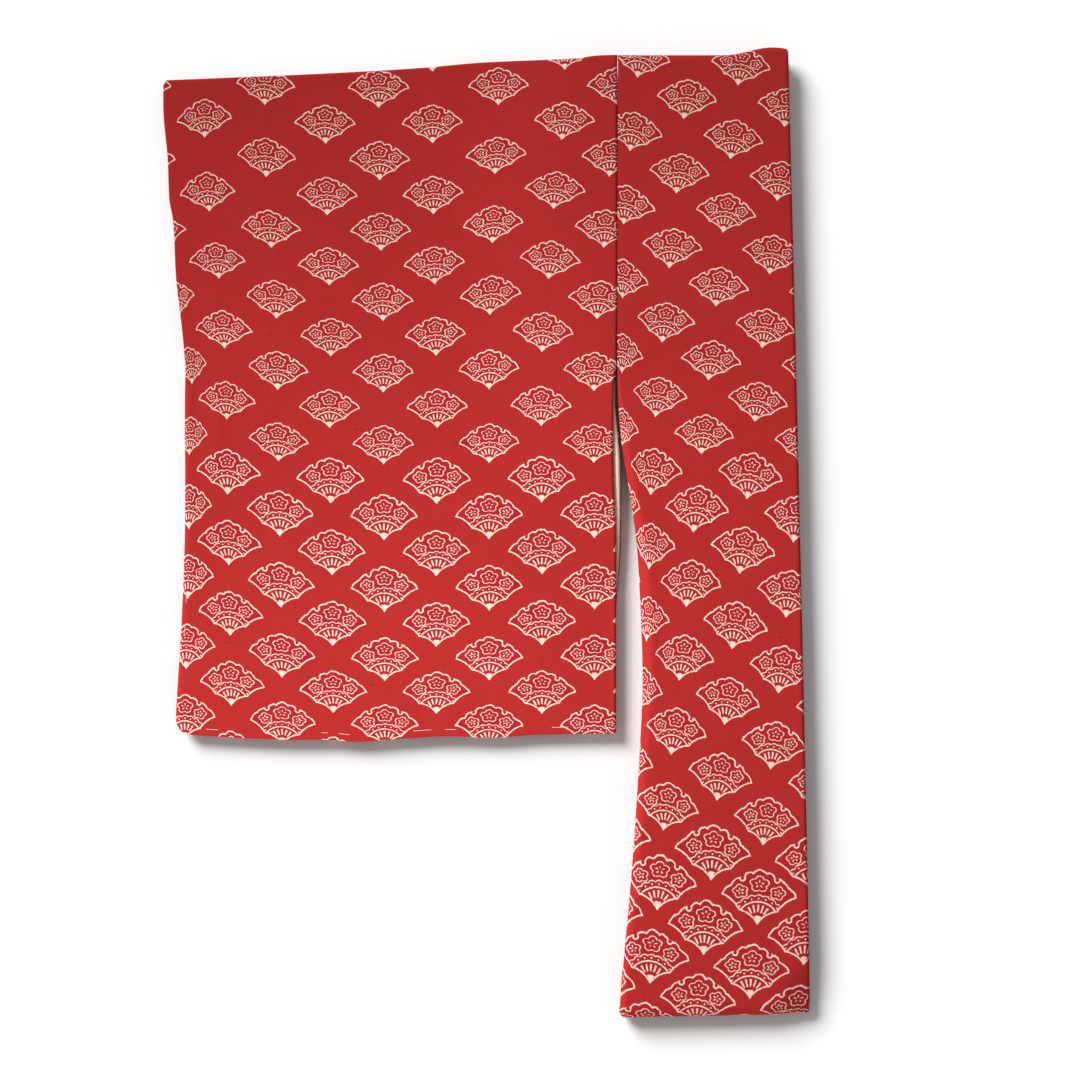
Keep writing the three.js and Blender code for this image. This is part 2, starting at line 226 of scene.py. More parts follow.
LEAVES = (
    Leaf(0.5, 0.3, 1.6),
    Leaf(1.3, 1.2, 0.2),
    Leaf(0.2, 0.5, 2.4),
    Leaf(1.6, 1.5, 1.0),
    Leaf(0.8, 0.2, 3.0),
)
SLEEVE_SWELLS = (
    Swell(-150, 215, 60, 90, 1.2),
    Swell(-40, 60, 80, 70, 1.0),
    Swell(20, 255, 55, 60, 0.9),
    Swell(-165, -60, 45, 60, 0.9),
    Swell(30, -85, 60, 35, 1.1),
)
BODY_HOLLOWS = (
    Swell(160, 180, 40, 70, -0.25),
    Swell(175, -60, 36, 90, -0.25),
    Swell(195, -265, 32, 100, -2.0),
)
SLEEVE_CREASES = (
    Crease(-214, 95, 88, 55, 7, -0.5),
    Crease(-198, 60, 84, 48, 5, 0.35),
    Crease(-60, -137, 150, 26, 7, 0.5),
    Crease(-44, -141, 128, 14, 4, -0.45),
    Crease(70, 96, 62, 34, 9, -0.5),
    Crease(52, 62, 75, 40, 10, 0.4),
    Crease(-120, -128, 12, 45, 6, -0.3),
    Crease(-10, 322, 8, 55, 8, 0.35),
    Crease(-160, 310, 172, 50, 9, -0.3),
)
BODY_CREASES = (
    Crease(116, -55, 92, 70, 3.2, -0.35),
    Crease(121, -60, 92, 80, 4.0, 0.3),
    Crease(196, 318, 150, 26, 6, 0.4),
    Crease(128, 105, 118, 30, 6, -0.3),
    Crease(215, -285, 70, 50, 8, -0.35),
)
BOTTOM_BASTING = (
    Stitch(-206, 10),
    Stitch(-164, 8),
    Stitch(-121.5, 6),
    Stitch(-109, 9.5),
    Stitch(-55, 16),
    Stitch(-31, 9.5),
    Stitch(47, 14),
)
WRIST_BASTING = (
    Stitch(-52, 9),
    Stitch(-74, 8),
    Stitch(-98, 10),
)


# ---- Small helpers -----------------------------------------------------------------


def mix(low: float, high: float, share: float) -> float:
    """Return the value at a share of the way from low to high."""
    return low + (high - low) * share


def clamp01(value: float) -> float:
    """Return the value held between 0 and 1."""
    return min(1.0, max(0.0, value))


def smooth(start: float, end: float, value: float) -> float:
    """Return 0 before start, 1 after end and a soft step between."""
    share = clamp01((value - start) / (end - start))
    return share * share * (3 - 2 * share)


def steps(count: int, start: float = 0.0, end: float = 1.0) -> list[float]:
    """Return count + 1 evenly spaced values from start to end."""
    return [mix(start, end, i / count) for i in range(count + 1)]


class Course:
    """A smooth line through the rows of a table, level beyond its ends."""

    def __init__(self, rows: Sequence[NamedTuple], source: str, target: str) -> None:
        """Sort the rows and work out the slope at each.

        Args:
            rows: the table.
            source: the column that is looked up.
            target: the column that is returned.
        """
        pairs = sorted((getattr(row, source), getattr(row, target)) for row in rows)
        self.keys = [pair[0] for pair in pairs]
        self.values = [pair[1] for pair in pairs]
        last = len(pairs) - 1
        self.slopes = []
        for i in range(last + 1):
            low, high = max(0, i - 1), min(last, i + 1)
            run = self.keys[high] - self.keys[low]
            self.slopes.append((self.values[high] - self.values[low]) / run)

    def __call__(self, key: float) -> float:
        """Look a value up.

        Args:
            key: a value of the source column.

        Returns:
            The target value there, on a cubic between the nearest rows.
        """
        if key <= self.keys[0]:
            return self.values[0]
        if key >= self.keys[-1]:
            return self.values[-1]
        i = bisect_right(self.keys, key) - 1
        width = self.keys[i + 1] - self.keys[i]
        share = (key - self.keys[i]) / width
        rise = self.values[i + 1] - self.values[i]
        bend = self.slopes[i] * width * (1 - share) - self.slopes[i + 1] * width * share
        return self.values[i] + rise * share * share * (3 - 2 * share) + bend * share * (1 - share)


def swell_at(rows: Iterable[Swell], x: float, y: float) -> float:
    """Add up a table of swells.

    Args:
        rows: the swells.
        x, y: the place on the plan.

    Returns:
        The height that they give the cloth there.
    """
    return sum(
        row.height * math.exp(-(((x - row.x) / row.across) ** 2) - ((y - row.y) / row.along) ** 2)
        for row in rows
    )


def crease_at(rows: Iterable[Crease], x: float, y: float) -> float:
    """Add up a table of creases.

    Args:
        rows: the creases.
        x, y: the place on the plan.

    Returns:
        The height that they give the cloth there.
    """
    height = 0.0
    for row in rows:
        angle = math.radians(row.angle)
        run = (x - row.x) * math.cos(angle) + (y - row.y) * math.sin(angle)
        off = (y - row.y) * math.cos(angle) - (x - row.x) * math.sin(angle)
        height += row.height * math.exp(-((run / row.length) ** 2) - (off / row.width) ** 2)
    return height


# ---- Mesh making -------------------------------------------------------------------

Pair = tuple[float, float]
Spot = tuple[float, float, float]
Mark = "float | Station | SleeveStation"
Place = Callable[[Mark, Mark, Mark], Spot]
Flat = Callable[[Mark, Mark, Mark], Pair]


@dataclass
class BentBox:
    """A closed mesh of a bent box, made of six grids that share their rims.

    Attributes:
        name: the piece's name.
        us, vs, ws: the grid lines along the box's three ways.
        place: gives a grid corner's place in millimetres.
        grain: gives its place on the flat cloth, in millimetres.
        print: places the print on the flat cloth.
    """

    name: str
    us: Sequence[Mark]
    vs: Sequence[Mark]
    ws: Sequence[Mark]
    place: Place
    grain: Flat
    print: "SleevePrint | BodyPrint"

    def build(self) -> bpy.types.Object:
        """Make the object and link it to the scene.

        Returns:
            The new object, with its place in its mesh.
        """
        bm = bmesh.new()
        layers = [bm.loops.layers.uv.new(name) for name in (UV_PRINT, UV_PITCH, UV_CLOTH)]
        us, vs, ws = self.us, self.vs, self.ws
        sides = (
            (us, vs, lambda a, b: (a, b, ws[0])),
            (us, vs, lambda a, b: (a, b, ws[-1])),
            (vs, ws, lambda a, b: (us[0], a, b)),
            (vs, ws, lambda a, b: (us[-1], a, b)),
            (ws, us, lambda a, b: (b, vs[0], a)),
            (ws, us, lambda a, b: (b, vs[-1], a)),
        )
        for first, second, corner in sides:
            self._grid(bm, layers, first, second, corner)
        close_up(bm)
        return link_mesh(self.name, bm, True)

    def _grid(
        self,
        bm: bmesh.types.BMesh,
        layers: list[bmesh.types.BMLayerItem],
        first: Sequence[Mark],
        second: Sequence[Mark],
        corner: Callable[[Mark, Mark], tuple[Mark, Mark, Mark]],
    ) -> None:
        """Add one side of the box as a grid and bend it into place.

        Args:
            bm: the mesh that is being made.
            layers: its UV layers for the print, its pitch and the cloth.
            first, second: the side's grid lines.
            corner: turns a pair of grid lines into the box's three.
        """
        counts = (len(first) - 1, len(second) - 1)
        made = bmesh.ops.create_grid(bm, x_segments=counts[0], y_segments=counts[1], size=1.0)
        flat = {}
        for vert in made["verts"]:
            i = round((vert.co.x + 1) / 2 * counts[0])
            j = round((vert.co.y + 1) / 2 * counts[1])
            spot = corner(first[i], second[j])
            vert.co = (Vector(self.place(*spot)) - OUTLINE_CENTRE) * MM
            x, y = self.grain(*spot)
            lattice, pitch = self.print.at(x, y)
            flat[vert] = (lattice, Vector(pitch) * MM, (x * MM, y * MM))
        for face in {face for vert in made["verts"] for face in vert.link_faces}:
            for loop in face.loops:
                for layer, place in zip(layers, flat[loop.vert]):
                    loop[layer].uv = place


def close_up(bm: bmesh.types.BMesh) -> None:
    """Join the grids where they share a rim, and turn the faces outwards."""
    bmesh.ops.remove_doubles(bm, verts=bm.verts, dist=MERGE)
    bmesh.ops.recalc_face_normals(bm, faces=bm.faces)


def link_mesh(name: str, bm: bmesh.types.BMesh, smooth_faces: bool) -> bpy.types.Object:
    """Turn a bmesh into a linked object at the origin.

    Args:
        name: the object's name.
        bm: the mesh, which is freed.
        smooth_faces: whether the faces are shaded smooth.

    Returns:
        The new object.
    """
    mesh = bpy.data.meshes.new(name)
    bm.to_mesh(mesh)
    bm.free()
    mesh.polygons.foreach_set("use_smooth", [smooth_faces] * len(mesh.polygons))
    piece = bpy.data.objects.new(name, mesh)
    bpy.context.collection.objects.link(piece)
    return piece


# ---- The print's lattice -----------------------------------------------------------


class ColumnLine(NamedTuple):
    """Where four of the sleeve's columns of fans stand at a height y."""

    y: float
    first: float
    third: float
    fifth: float
    seventh: float


SLEEVE_COLUMNS = (
    ColumnLine(303, -207.0, -118.5, -39.8, 57.3),
    ColumnLine(250, -204.8, -117.0, -39.2, 50.2),
    ColumnLine(198, -197.4, -116.0, -38.4, 46.6),
    ColumnLine(149, -193.0, -114.0, -37.6, 41.6),
    ColumnLine(97, -191.0, -115.3, -36.2, 40.0),
    ColumnLine(-9, -189.4, -113.6, -36.8, 40.6),
    ColumnLine(-115, -187.3, -112.5, -36.8, 40.6),
)


class EdgeColumn(NamedTuple):
    """The column of fans cut by the wrist edge: how near it stands, and its squeeze."""

    y: float
    pitch: float
    squeeze: float


WRIST_COLUMN = (
    EdgeColumn(324, 93.0, 1.0),
    EdgeColumn(275, 88.0, 1.0),
    EdgeColumn(223, 81.0, 1.05),
    EdgeColumn(173, 68.0, 1.5),
    EdgeColumn(122, 50.0, 1.95),
    EdgeColumn(72, 54.5, 1.72),
    EdgeColumn(18, 57.0, 1.47),
    EdgeColumn(-31, 59.4, 1.33),
    EdgeColumn(-82, 64.0, 1.18),
    EdgeColumn(-132, 68.0, 1.1),
)
SLEEVE_DRIFT = (
    Swell(-205, 60, 45, 420, 6.6),
    Swell(20, 200, 45, 100, 5.9),
    Swell(-60, -60, 80, 120, -2.2),
    Swell(-90, -160, 170, 48, 4.6),
    Swell(-190, -85, 30, 60, 1.6),
    Swell(-236, -90, 22, 80, 4.0),
    Swell(-236, 240, 20, 110, -4.4),
    Swell(-203, 235, 32, 42, -3.2),
    Swell(-80, 250, 90, 60, -1.4),
)
BODY_DRIFT = (
    Swell(125, 50, 28, 400, -3.7),
    Swell(200, -330, 90, 260, -9.5),
    Swell(120, -20, 22, 110, -2.0),
    Swell(125, -150, 34, 90, 3.4),
    Swell(150, -30, 60, 150, 1.6),
)


@dataclass
class SleevePrint:
    """Places the sleeve's print: columns that draw together from the shoulder down."""

    row_pitch: float = 52.2
    row_zero: float = 300.5
    body_pitch: float = 77.0
    squeeze: float = 1.1
    squeeze_fade: Fade = Fade(-190, -160)

    def __post_init__(self) -> None:
        """Make the four column lines, and the pitch and squeeze of the outermost."""
        names = ("first", "third", "fifth", "seventh")
        self.lines = [Course(SLEEVE_COLUMNS, "y", name) for name in names]
        self.wrist_pitch = Course(WRIST_COLUMN, "y", "pitch")
        self.wrist_squeeze = Course(WRIST_COLUMN, "y", "squeeze")

    def at(self, x: float, y: float) -> tuple[Pair, Pair]:
        """Place the print.

        Args:
            x, y: a place of the flat sleeve.

        Returns:
            The lattice's column and row there, and the pitch of each.
        """
        marks = [line(y) for line in self.lines]
        marks = [marks[0] - self.wrist_pitch(y), *marks, marks[-1] + self.body_pitch]
        i = min(len(marks) - 2, max(0, bisect_right(marks, x) - 1))
        gap = marks[i + 1] - marks[i]
        column = 2 * (i - 1 + (x - marks[i]) / gap)
        row = (y - self.row_zero - swell_at(SLEEVE_DRIFT, x, y)) / self.row_pitch
        lifted = row - 0.5
        if abs(column + 1) + 2 * abs(lifted - round(lifted)) < 1:
            squeeze = self.wrist_squeeze(y)
        else:
            squeeze = mix(self.squeeze, 1.0, self.squeeze_fade.at(x))
        return (column, row), (gap / 2 * squeeze, self.row_pitch)


@dataclass
class BodyPrint:
    """Places the body panel's print, whose columns slant towards the sleeve's side."""

    side: Course
    column_pitch: float = 37.0
    row_pitch: float = 54.3
    slant: float = 0.1
    start: EdgeY = EdgeY(180.5, 288.1)
    gather: float = 16.2
    gather_reach: float = 9.5
    gather_most: float = 12.5
    gather_start: Fade = Fade(-190, -50)
    gather_end: Fade = Fade(90, 250)

    def gathered(self, x: float, y: float) -> float:
        """Work out how much cloth the rolled side has taken up.

        Args:
            x, y: a place of the flat panel.

        Returns:
            How far the print there has moved to the side.
        """
        taken = self.gather * math.exp((self.side(y) - x) / self.gather_reach)
        fade = self.gather_start.at(y) * (1 - self.gather_end.at(y))
        return fade * min(self.gather_most, taken)

    def at(self, x: float, y: float) -> tuple[Pair, Pair]:
        """Place the print.

        Args:
            x, y: a place of the flat panel.

        Returns:
            The lattice's column and row there, and the pitch of each.
        """
        off_x, off_y = x - self.start.x, y - self.start.y
        column = (off_x - self.gathered(x, y) - self.slant * off_y) / self.column_pitch
        off_y -= swell_at(BODY_DRIFT, x, y)
        row = (off_y + self.slant * off_x) / self.row_pitch
        return (column, row), (self.column_pitch, self.row_pitch)


# ---- The folded body ---------------------------------------------------------------


class Leg(Enum):
    """The stretches of the way round the pile, from the shoulder to the hem."""

    SHOULDER = "over the shoulder"
    UPPER = "along the upper half"
    HIP = "round the hip fold"
    TUCK = "under the hip fold"
    LOWER = "along the lower half"


class Station(NamedTuple):
    """A place on the way round the pile."""

    leg: Leg
    t: float


class Side(NamedTuple):
    """One side of the pile at a station; way is its direction along X."""

    radius: float
    turn: float
    edge: float
    way: int

    @property
    def width(self) -> float:
        """How far the roll reaches along X."""
        return self.radius * math.sin(math.radians(min(self.turn, 90)))

    @property
    def depth(self) -> float:
        """How far the roll reaches down."""
        return self.radius * (1 - math.cos(math.radians(self.turn)))

    @property
    def centre(self) -> float:
        """Where the roll starts from the flat."""
        return self.edge - self.way * self.width


@dataclass
class Pile:
    """The body's folded pile: its outer surface, and depths inside that surface."""

    height: float = 19.0
    shoulder_roll: float = 4.6
    shoulder_turn: float = 165.0
    tuck: float = 25.0
    hem_inset: float = 3.0
    middle_x: float = 160.0
    fold_top: EdgeX = EdgeX(354.4, 220.6)
    fold_foot: EdgeX = EdgeX(-351.8, 237.1)
    fold_bow: float = 0.5
    shoulder_low: float = 349.8
    shoulder_high: float = 355.5
    collar_start: Fade = Fade(174, 209)
    collar_end: Fade = Fade(212, 221)
    hip_start: EdgeY = EdgeY(97.1, -355.5)
    hip_end: EdgeY = EdgeY(237.1, -352.7)
    crease_fade: float = 12.0
    corner: EdgeX = EdgeX(-350.7, 217.6)
    corner_angle: float = -31.0
    corner_fade: Fade = Fade(-14, 22)
    corner_sag: float = 7.0

    def __post_init__(self) -> None:
        """Make the smooth lines of the pile's sides."""
        self.half = self.height / 2
        self.side_x = Course(BODY_SIDE, "y", "x")
        self.side_radius = Course(SIDE_ROLL, "y", "radius")
        self.side_turn = Course(SIDE_ROLL, "y", "turn")
        self.fold_radius = Course(FOLD_ROLL, "y", "radius")
        self.fold_turn = Course(FOLD_ROLL, "y", "turn")
        self.print = BodyPrint(self.side_x)

    def fold_x(self, y: float) -> float:
        """Return x of the lengthwise fold, which is nearly straight."""
        top, foot = self.fold_top, self.fold_foot
        share = clamp01((top.y - y) / (top.y - foot.y))
        return mix(top.x, foot.x, share) + self.fold_bow * math.sin(math.pi * share)

    def shoulder_y(self, x: float) -> float:
        """Return the shoulder line, which the collar lifts on one side."""
        lifted = mix(self.shoulder_low, self.shoulder_high, self.collar_start.at(x))
        return lifted - self.collar_end.at(x)

    def hip_y(self, x: float) -> float:
        """Return the hip fold's line."""
        start, end = self.hip_start, self.hip_end
        return mix(start.y, end.y, clamp01((x - start.x) / (end.x - start.x)))

    def sides(self, place: Station) -> tuple[Side, Side]:
        """Work out the pile's two sides.

        Args:
            place: the station.

        Returns:
            The rolled side towards the sleeve, and the lengthwise fold.
        """
        y = self.point(place, self.middle_x, 0.0)[1]
        side = Side(self.side_radius(y), self.side_turn(y), self.side_x(y) + SEAM_GAP / 2, -1)
        return side, Side(self.fold_radius(y), self.fold_turn(y), self.fold_x(y), 1)

    def sagged(self, x: float, y: float) -> float:
        """Work out the sag of the pile's loose corner.

        Args:
            x, y: the place on the plan.

        Returns:
            The share of its full height that the pile keeps there.
        """
        angle = math.radians(self.corner_angle)
        beyond = (x - self.corner.x) * math.cos(angle) + (y - self.corner.y) * math.sin(angle)
        return 1 - self.corner_sag / self.height * self.corner_fade.at(beyond)

    def point(self, place: Station, x: float, depth: float) -> Spot:
        """Find a point of the pile as it lies, sagged.

        Args:
            place: the station.
            x: how far across the pile.
            depth: how far inside its outer surface.

        Returns:
            The point.
        """
        x, y, z = self.unsagged(place, x, depth)
        return x, y, z * self.sagged(x, y)

    def unsagged(self, place: Station, x: float, depth: float) -> Spot:
        """Find a point of the pile as if no corner sagged.

        Args:
            place: the station.
            x: how far across the pile.
            depth: how far inside its outer surface.

        Returns:
            The point.
        """
        shoulder = self.shoulder_y(x) - self.shoulder_roll
        hip = self.hip_y(x) + self.half
        leg, t = place
        if leg is Leg.SHOULDER:
            angle = math.radians(self.shoulder_turn * t)
            reach = self.shoulder_roll - depth
            centre = self.height - self.shoulder_roll
            return x, shoulder + reach * math.sin(angle), centre + reach * math.cos(angle)
        if leg is Leg.UPPER:
            y = mix(shoulder, hip, t)
            lift = math.sin(math.pi * clamp01(t)) * swell_at(BODY_HOLLOWS, x, y)
            fade = min(1.0, self.crease_fade * t, self.crease_fade * (1 - t))
            lift += fade * crease_at(BODY_CREASES, x, y)
            return x, y, self.height - depth + lift
        if leg is Leg.HIP:
            angle = math.pi * t
            reach = self.half - depth
            return x, hip - reach * math.sin(angle), self.half + reach * math.cos(angle)
        if leg is Leg.TUCK:
            return x, hip + t, depth
        hem = self.shoulder_y(x) - self.hem_inset
        return x, mix(hip + self.tuck + SEAM_GAP, hem, t), depth

    def flat_y(self, place: Station, x: float) -> float:
        """Unroll the way round the pile.

        Args:
            place: the station.
            x: how far across the pile.

        Returns:
            The station's y on the cloth laid flat.
        """
        shoulder = self.shoulder_y(x) - self.shoulder_roll
        hip = self.hip_y(x) + self.half
        leg, t = place
        if leg is Leg.SHOULDER:
            return shoulder + self.shoulder_roll * math.radians(self.shoulder_turn * t)
        if leg is Leg.UPPER:
            return mix(shoulder, hip, t)
        round_hip = hip - self.half * math.pi * min(1.0, t if leg is Leg.HIP else 1.0)
        if leg is Leg.HIP:
            return round_hip
        if leg is Leg.TUCK:
            return round_hip - t
        return round_hip - self.tuck - t * (self.shoulder_y(x) - self.hem_inset - hip)


class Slot(Enum):
    """The finishes that the record names."""

    PRINTED = "printed_cloth"
    LINING = "lining"


class Held(Enum):
    """How a sheet of cloth lies."""

    FOLDED = "folded"
    LAID = "laid"


class Part:
    """A sheet of cloth that stands for one node, and how it is dressed.

    Attributes:
        node: the node that the piece stands for.
        flat: width and length of its cut, in metres.
        held: how it lies.
        slot: the slot that its finish stands for.
    """

    node: str
    flat: Pair
    held: Held = Held.FOLDED
    slot: Slot = Slot.PRINTED

    def build(self) -> bpy.types.Object:
        """Make the piece's mesh."""
        raise NotImplementedError

    def dressed(self, finish: bpy.types.Material) -> bpy.types.Object:
        """Build the piece, dress it and put it in place of its node.

        Args:
            finish: the piece's material.

        Returns:
            The new object.
        """
        piece = self.build()
        piece.data.materials.append(finish)
        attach(piece, BODY)
        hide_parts(self.node)
        return piece

    def declare(self, piece: bpy.types.Object, *carriers: bpy.types.Object) -> None:
        """Take the piece and the pieces that carry it; nothing is done with them."""


@dataclass
class BodyPanel(Part):
    """The body panel that shows, from under the shoulder to under the hip fold."""

    pile: Pile
    node: str = "body_panel_shown"
    flat: Pair = (0.152, 0.765)
    across_steps: int = 52
    along_steps: int = 210
    roll_steps: int = 10
    shoulder_steps: int = 12
    hip_steps: int = 20
    tuck_steps: int = 5

    def build(self) -> bpy.types.Object:
        """Make the panel.

        Returns:
            The new object.
        """
        roll = self.roll_steps
        across = [
            *steps(roll, -1, 0),
            *steps(self.across_steps)[1:],
            *steps(roll, 1, 2)[1:],
        ]
        along = [
            *(Station(Leg.SHOULDER, t) for t in steps(self.shoulder_steps, 1, 0)),
            *(Station(Leg.UPPER, t) for t in steps(self.along_steps)[1:]),
            *(Station(Leg.HIP, t) for t in steps(self.hip_steps)[1:]),
            *(Station(Leg.TUCK, t) for t in steps(self.tuck_steps, 0, self.pile.tuck)[1:]),
        ]
        sides = {place: self.pile.sides(place) for place in along}
        box = BentBox(
            "body_panel",
            across,
            along,
            [0.0, CLOTH],
            lambda u, place, inside: self._place(sides[place], u, place, inside),
            lambda u, place, inside: self._unrolled(sides[place], u, place),
            self.pile.print,
        )
        return box.build()

    def _place(
        self, sides: tuple[Side, Side], u: float, place: Station, inside: float
    ) -> Spot:
        """Find a point of the panel.

        Args:
            sides: the pile's two sides at the station.
            u: the share of the flat width; below 0 and above 1 it rolls over a side.
            place: the station.
            inside: how far inside the panel's face.

        Returns:
            The point.
        """
        side, fold = sides
        if 0 <= u <= 1:
            return self.pile.point(place, mix(side.centre, fold.centre, u), inside)
        roll, t = (side, -u) if u < 0 else (fold, u - 1)
        angle = math.radians(roll.turn * t)
        x = roll.centre + roll.way * (roll.radius - inside) * math.sin(angle)
        depth = roll.radius - (roll.radius - inside) * math.cos(angle)
        return self.pile.point(place, x, depth)

    def _unrolled(self, sides: tuple[Side, Side], u: float, place: Station) -> Pair:
        """Find the same point on the cloth laid flat.

        Args:
            sides: the pile's two sides at the station.
            u: the share of the flat width.
            place: the station.

        Returns:
            The point's x and y on the flat cloth.
        """
        side, fold = sides
        x = mix(side.centre, fold.centre, clamp01(u))
        y = self.pile.flat_y(place, x)
        if u < 0:
            x -= side.radius * math.radians(side.turn * -u)
        if u > 1:
            x += fold.radius * math.radians(fold.turn * (u - 1))
        return x, y


@dataclass
class FoldedLayers(Part):
    """The hidden layers of the body as one solid, with a round fold for each leaf."""

    pile: Pile
    node: str = "body_folded_layers"
    flat: Pair = (0.14, 1.38)
    side_inset: float = 1.1
    clearance: float = 0.6
    seam_turn: float = 30.0
    open_turn: float = 100.0
    cuts: int = 8
    across_steps: int = 12
    shoulder_rows: Pair = (0.0, 0.004)
    upper_start: float = 0.02
    upper_steps: int = 56
    hip_steps: int = 16
    lower_steps: int = 50
    roundness: float = 0.62
    wander: float = 0.35
    wander_rate: float = 5.0
    wander_gain: float = 1.7
    wander_shift: float = 2.3
    lower_shift: float = 3.1
    unrolled_share: float = 1.6
    print_shift: float = 17.0

    def __post_init__(self) -> None:
        """Work out the thickness of a leaf."""
        self.leaf = self.pile.half / len(LEAVES)

    def build(self) -> bpy.types.Object:
        """Make the layers.

        Returns:
            The new object.
        """
        levels = []
        for leaf in range(len(LEAVES)):
            levels += [(leaf + part / self.cuts) / len(LEAVES) for part in range(self.cuts)]
        levels.append(1.0)
        along = [
            *(Station(Leg.UPPER, t) for t in self.shoulder_rows),
            *(Station(Leg.UPPER, t) for t in steps(self.upper_steps, self.upper_start, 1)),
            *(Station(Leg.HIP, t) for t in steps(self.hip_steps)[1:]),
            Station(Leg.TUCK, self.pile.tuck + SEAM_GAP),
            *(Station(Leg.LOWER, t) for t in steps(self.lower_steps)),
        ]
        sides = {place: self.pile.sides(place) for place in along}
        box = BentBox(
            "body_layers",
            steps(self.across_steps),
            along,
            levels,
            lambda u, place, level: self._place(sides[place], u, place, level),
            lambda u, place, level: self._unrolled(sides[place], u, place, level),
            self.pile.print,
        )
        return box.build()

    def _depth(self, place: Station, level: float) -> float:
        """Return the depth in the pile at a level of a station."""
        outermost = 0.0 if place.leg is Leg.LOWER else CLOTH + SEAM_GAP
        return mix(outermost, self.pile.half - SEAM_GAP, level)

    def _leaf_at(self, depth: float) -> int:
        """Return which leaf lies at a depth."""
        return min(len(LEAVES) - 1, max(0, int(depth / self.leaf)))

    def _leaf_edge(self, place: Station, depth: float, column: str) -> float:
        """Work out how far a leaf's round edge stands back.

        Args:
            place: the station.
            depth: the depth in the pile.
            column: which of the leaf's edges.

        Returns:
            The distance from the pile's side.
        """
        leaf = self._leaf_at(depth)
        off = 2 * clamp01(depth / self.leaf - leaf) - 1
        edge = self.leaf * self.roundness * (1 - math.sqrt(max(0.0, 1 - off * off)))
        turn = place.t * (self.wander_rate + self.wander_gain * leaf) + self.wander_shift * leaf
        if place.leg is Leg.LOWER:
            turn += self.lower_shift
        drift = self.wander * math.sin(turn)
        return getattr(LEAVES[leaf], column) + edge + max(0.0, self.wander + drift)

    def _edge(self, place: Station, depth: float, roll: Side, column: str) -> float:
        """Find the layers' edge, inside the panel's roll or flush with it.

        Args:
            place: the station.
            depth: the depth in the pile.
            roll: the pile's side there.
            column: which of the leaves' edges.

        Returns:
            The edge's x.
        """
        lower = place.leg is Leg.LOWER
        reach = max(roll.radius, roll.depth) if roll.turn > self.seam_turn else roll.depth
        if lower or depth > reach + SEAM_GAP:
            inset = self._leaf_edge(place, depth, column) + (self.side_inset if lower else 0.0)
            return roll.edge - roll.way * inset
        inner = max(0.0, roll.radius - CLOTH - self.clearance)
        open_roll = depth > roll.radius and roll.turn < self.open_turn
        off = 0.0 if open_roll else min(inner, abs(roll.radius - depth))
        return roll.centre + roll.way * math.sqrt(inner * inner - off * off)

    def _place(
        self, sides: tuple[Side, Side], u: float, place: Station, level: float
    ) -> Spot:
        """Find a point of the layers.

        Args:
            sides: the pile's two sides at the station.
            u: the share of the layers' width.
            place: the station.
            level: the share of their depth.

        Returns:
            The point.
        """
        side, fold = sides
        depth = self._depth(place, level)
        shoulder_end = place.leg is Leg.UPPER and place.t == 0
        if shoulder_end:
            left, right = side.centre + CLOTH, fold.centre - CLOTH
        else:
            left = self._edge(place, depth, side, "side")
            right = self._edge(place, depth, fold, "fold")
        x, y, z = self.pile.point(place, mix(left, right, u), depth)
        if shoulder_end:
            radius = self.pile.shoulder_roll - CLOTH - self.clearance
            off = depth - self.pile.shoulder_roll
            y += math.sqrt(max(0.0, radius * radius - off * off)) - SEAM_GAP
        if place.leg is Leg.LOWER and place.t == 1:
            y -= self._leaf_edge(place, depth, "hem")
        return x, y, z

    def _unrolled(
        self, sides: tuple[Side, Side], u: float, place: Station, level: float
    ) -> Pair:
        """Find the same point on the cloth, as if each leaf's edge were unrolled.

        Args:
            sides: the pile's two sides at the station.
            u: the share of the layers' width.
            place: the station.
            level: the share of their depth.

        Returns:
            The point's x and y on the flat cloth.
        """
        side, fold = sides
        depth = self._depth(place, level)
        beyond = self.unrolled_share * depth
        x = mix(side.edge - beyond, fold.edge + beyond, u)
        y = self.pile.flat_y(place, self.pile.middle_x)
        return x, y + self.print_shift * self._leaf_at(depth)


# ---- The sleeves -------------------------------------------------------------------


class Run(Enum):
    """The stretches of the sleeve's one width of cloth."""

    NEAR = "near wall"
    TURN = "fold along the shoulder"
    FAR = "far wall"


class SleeveStation(NamedTuple):
    """A place along the sleeve's cloth."""

    run: Run
    t: float


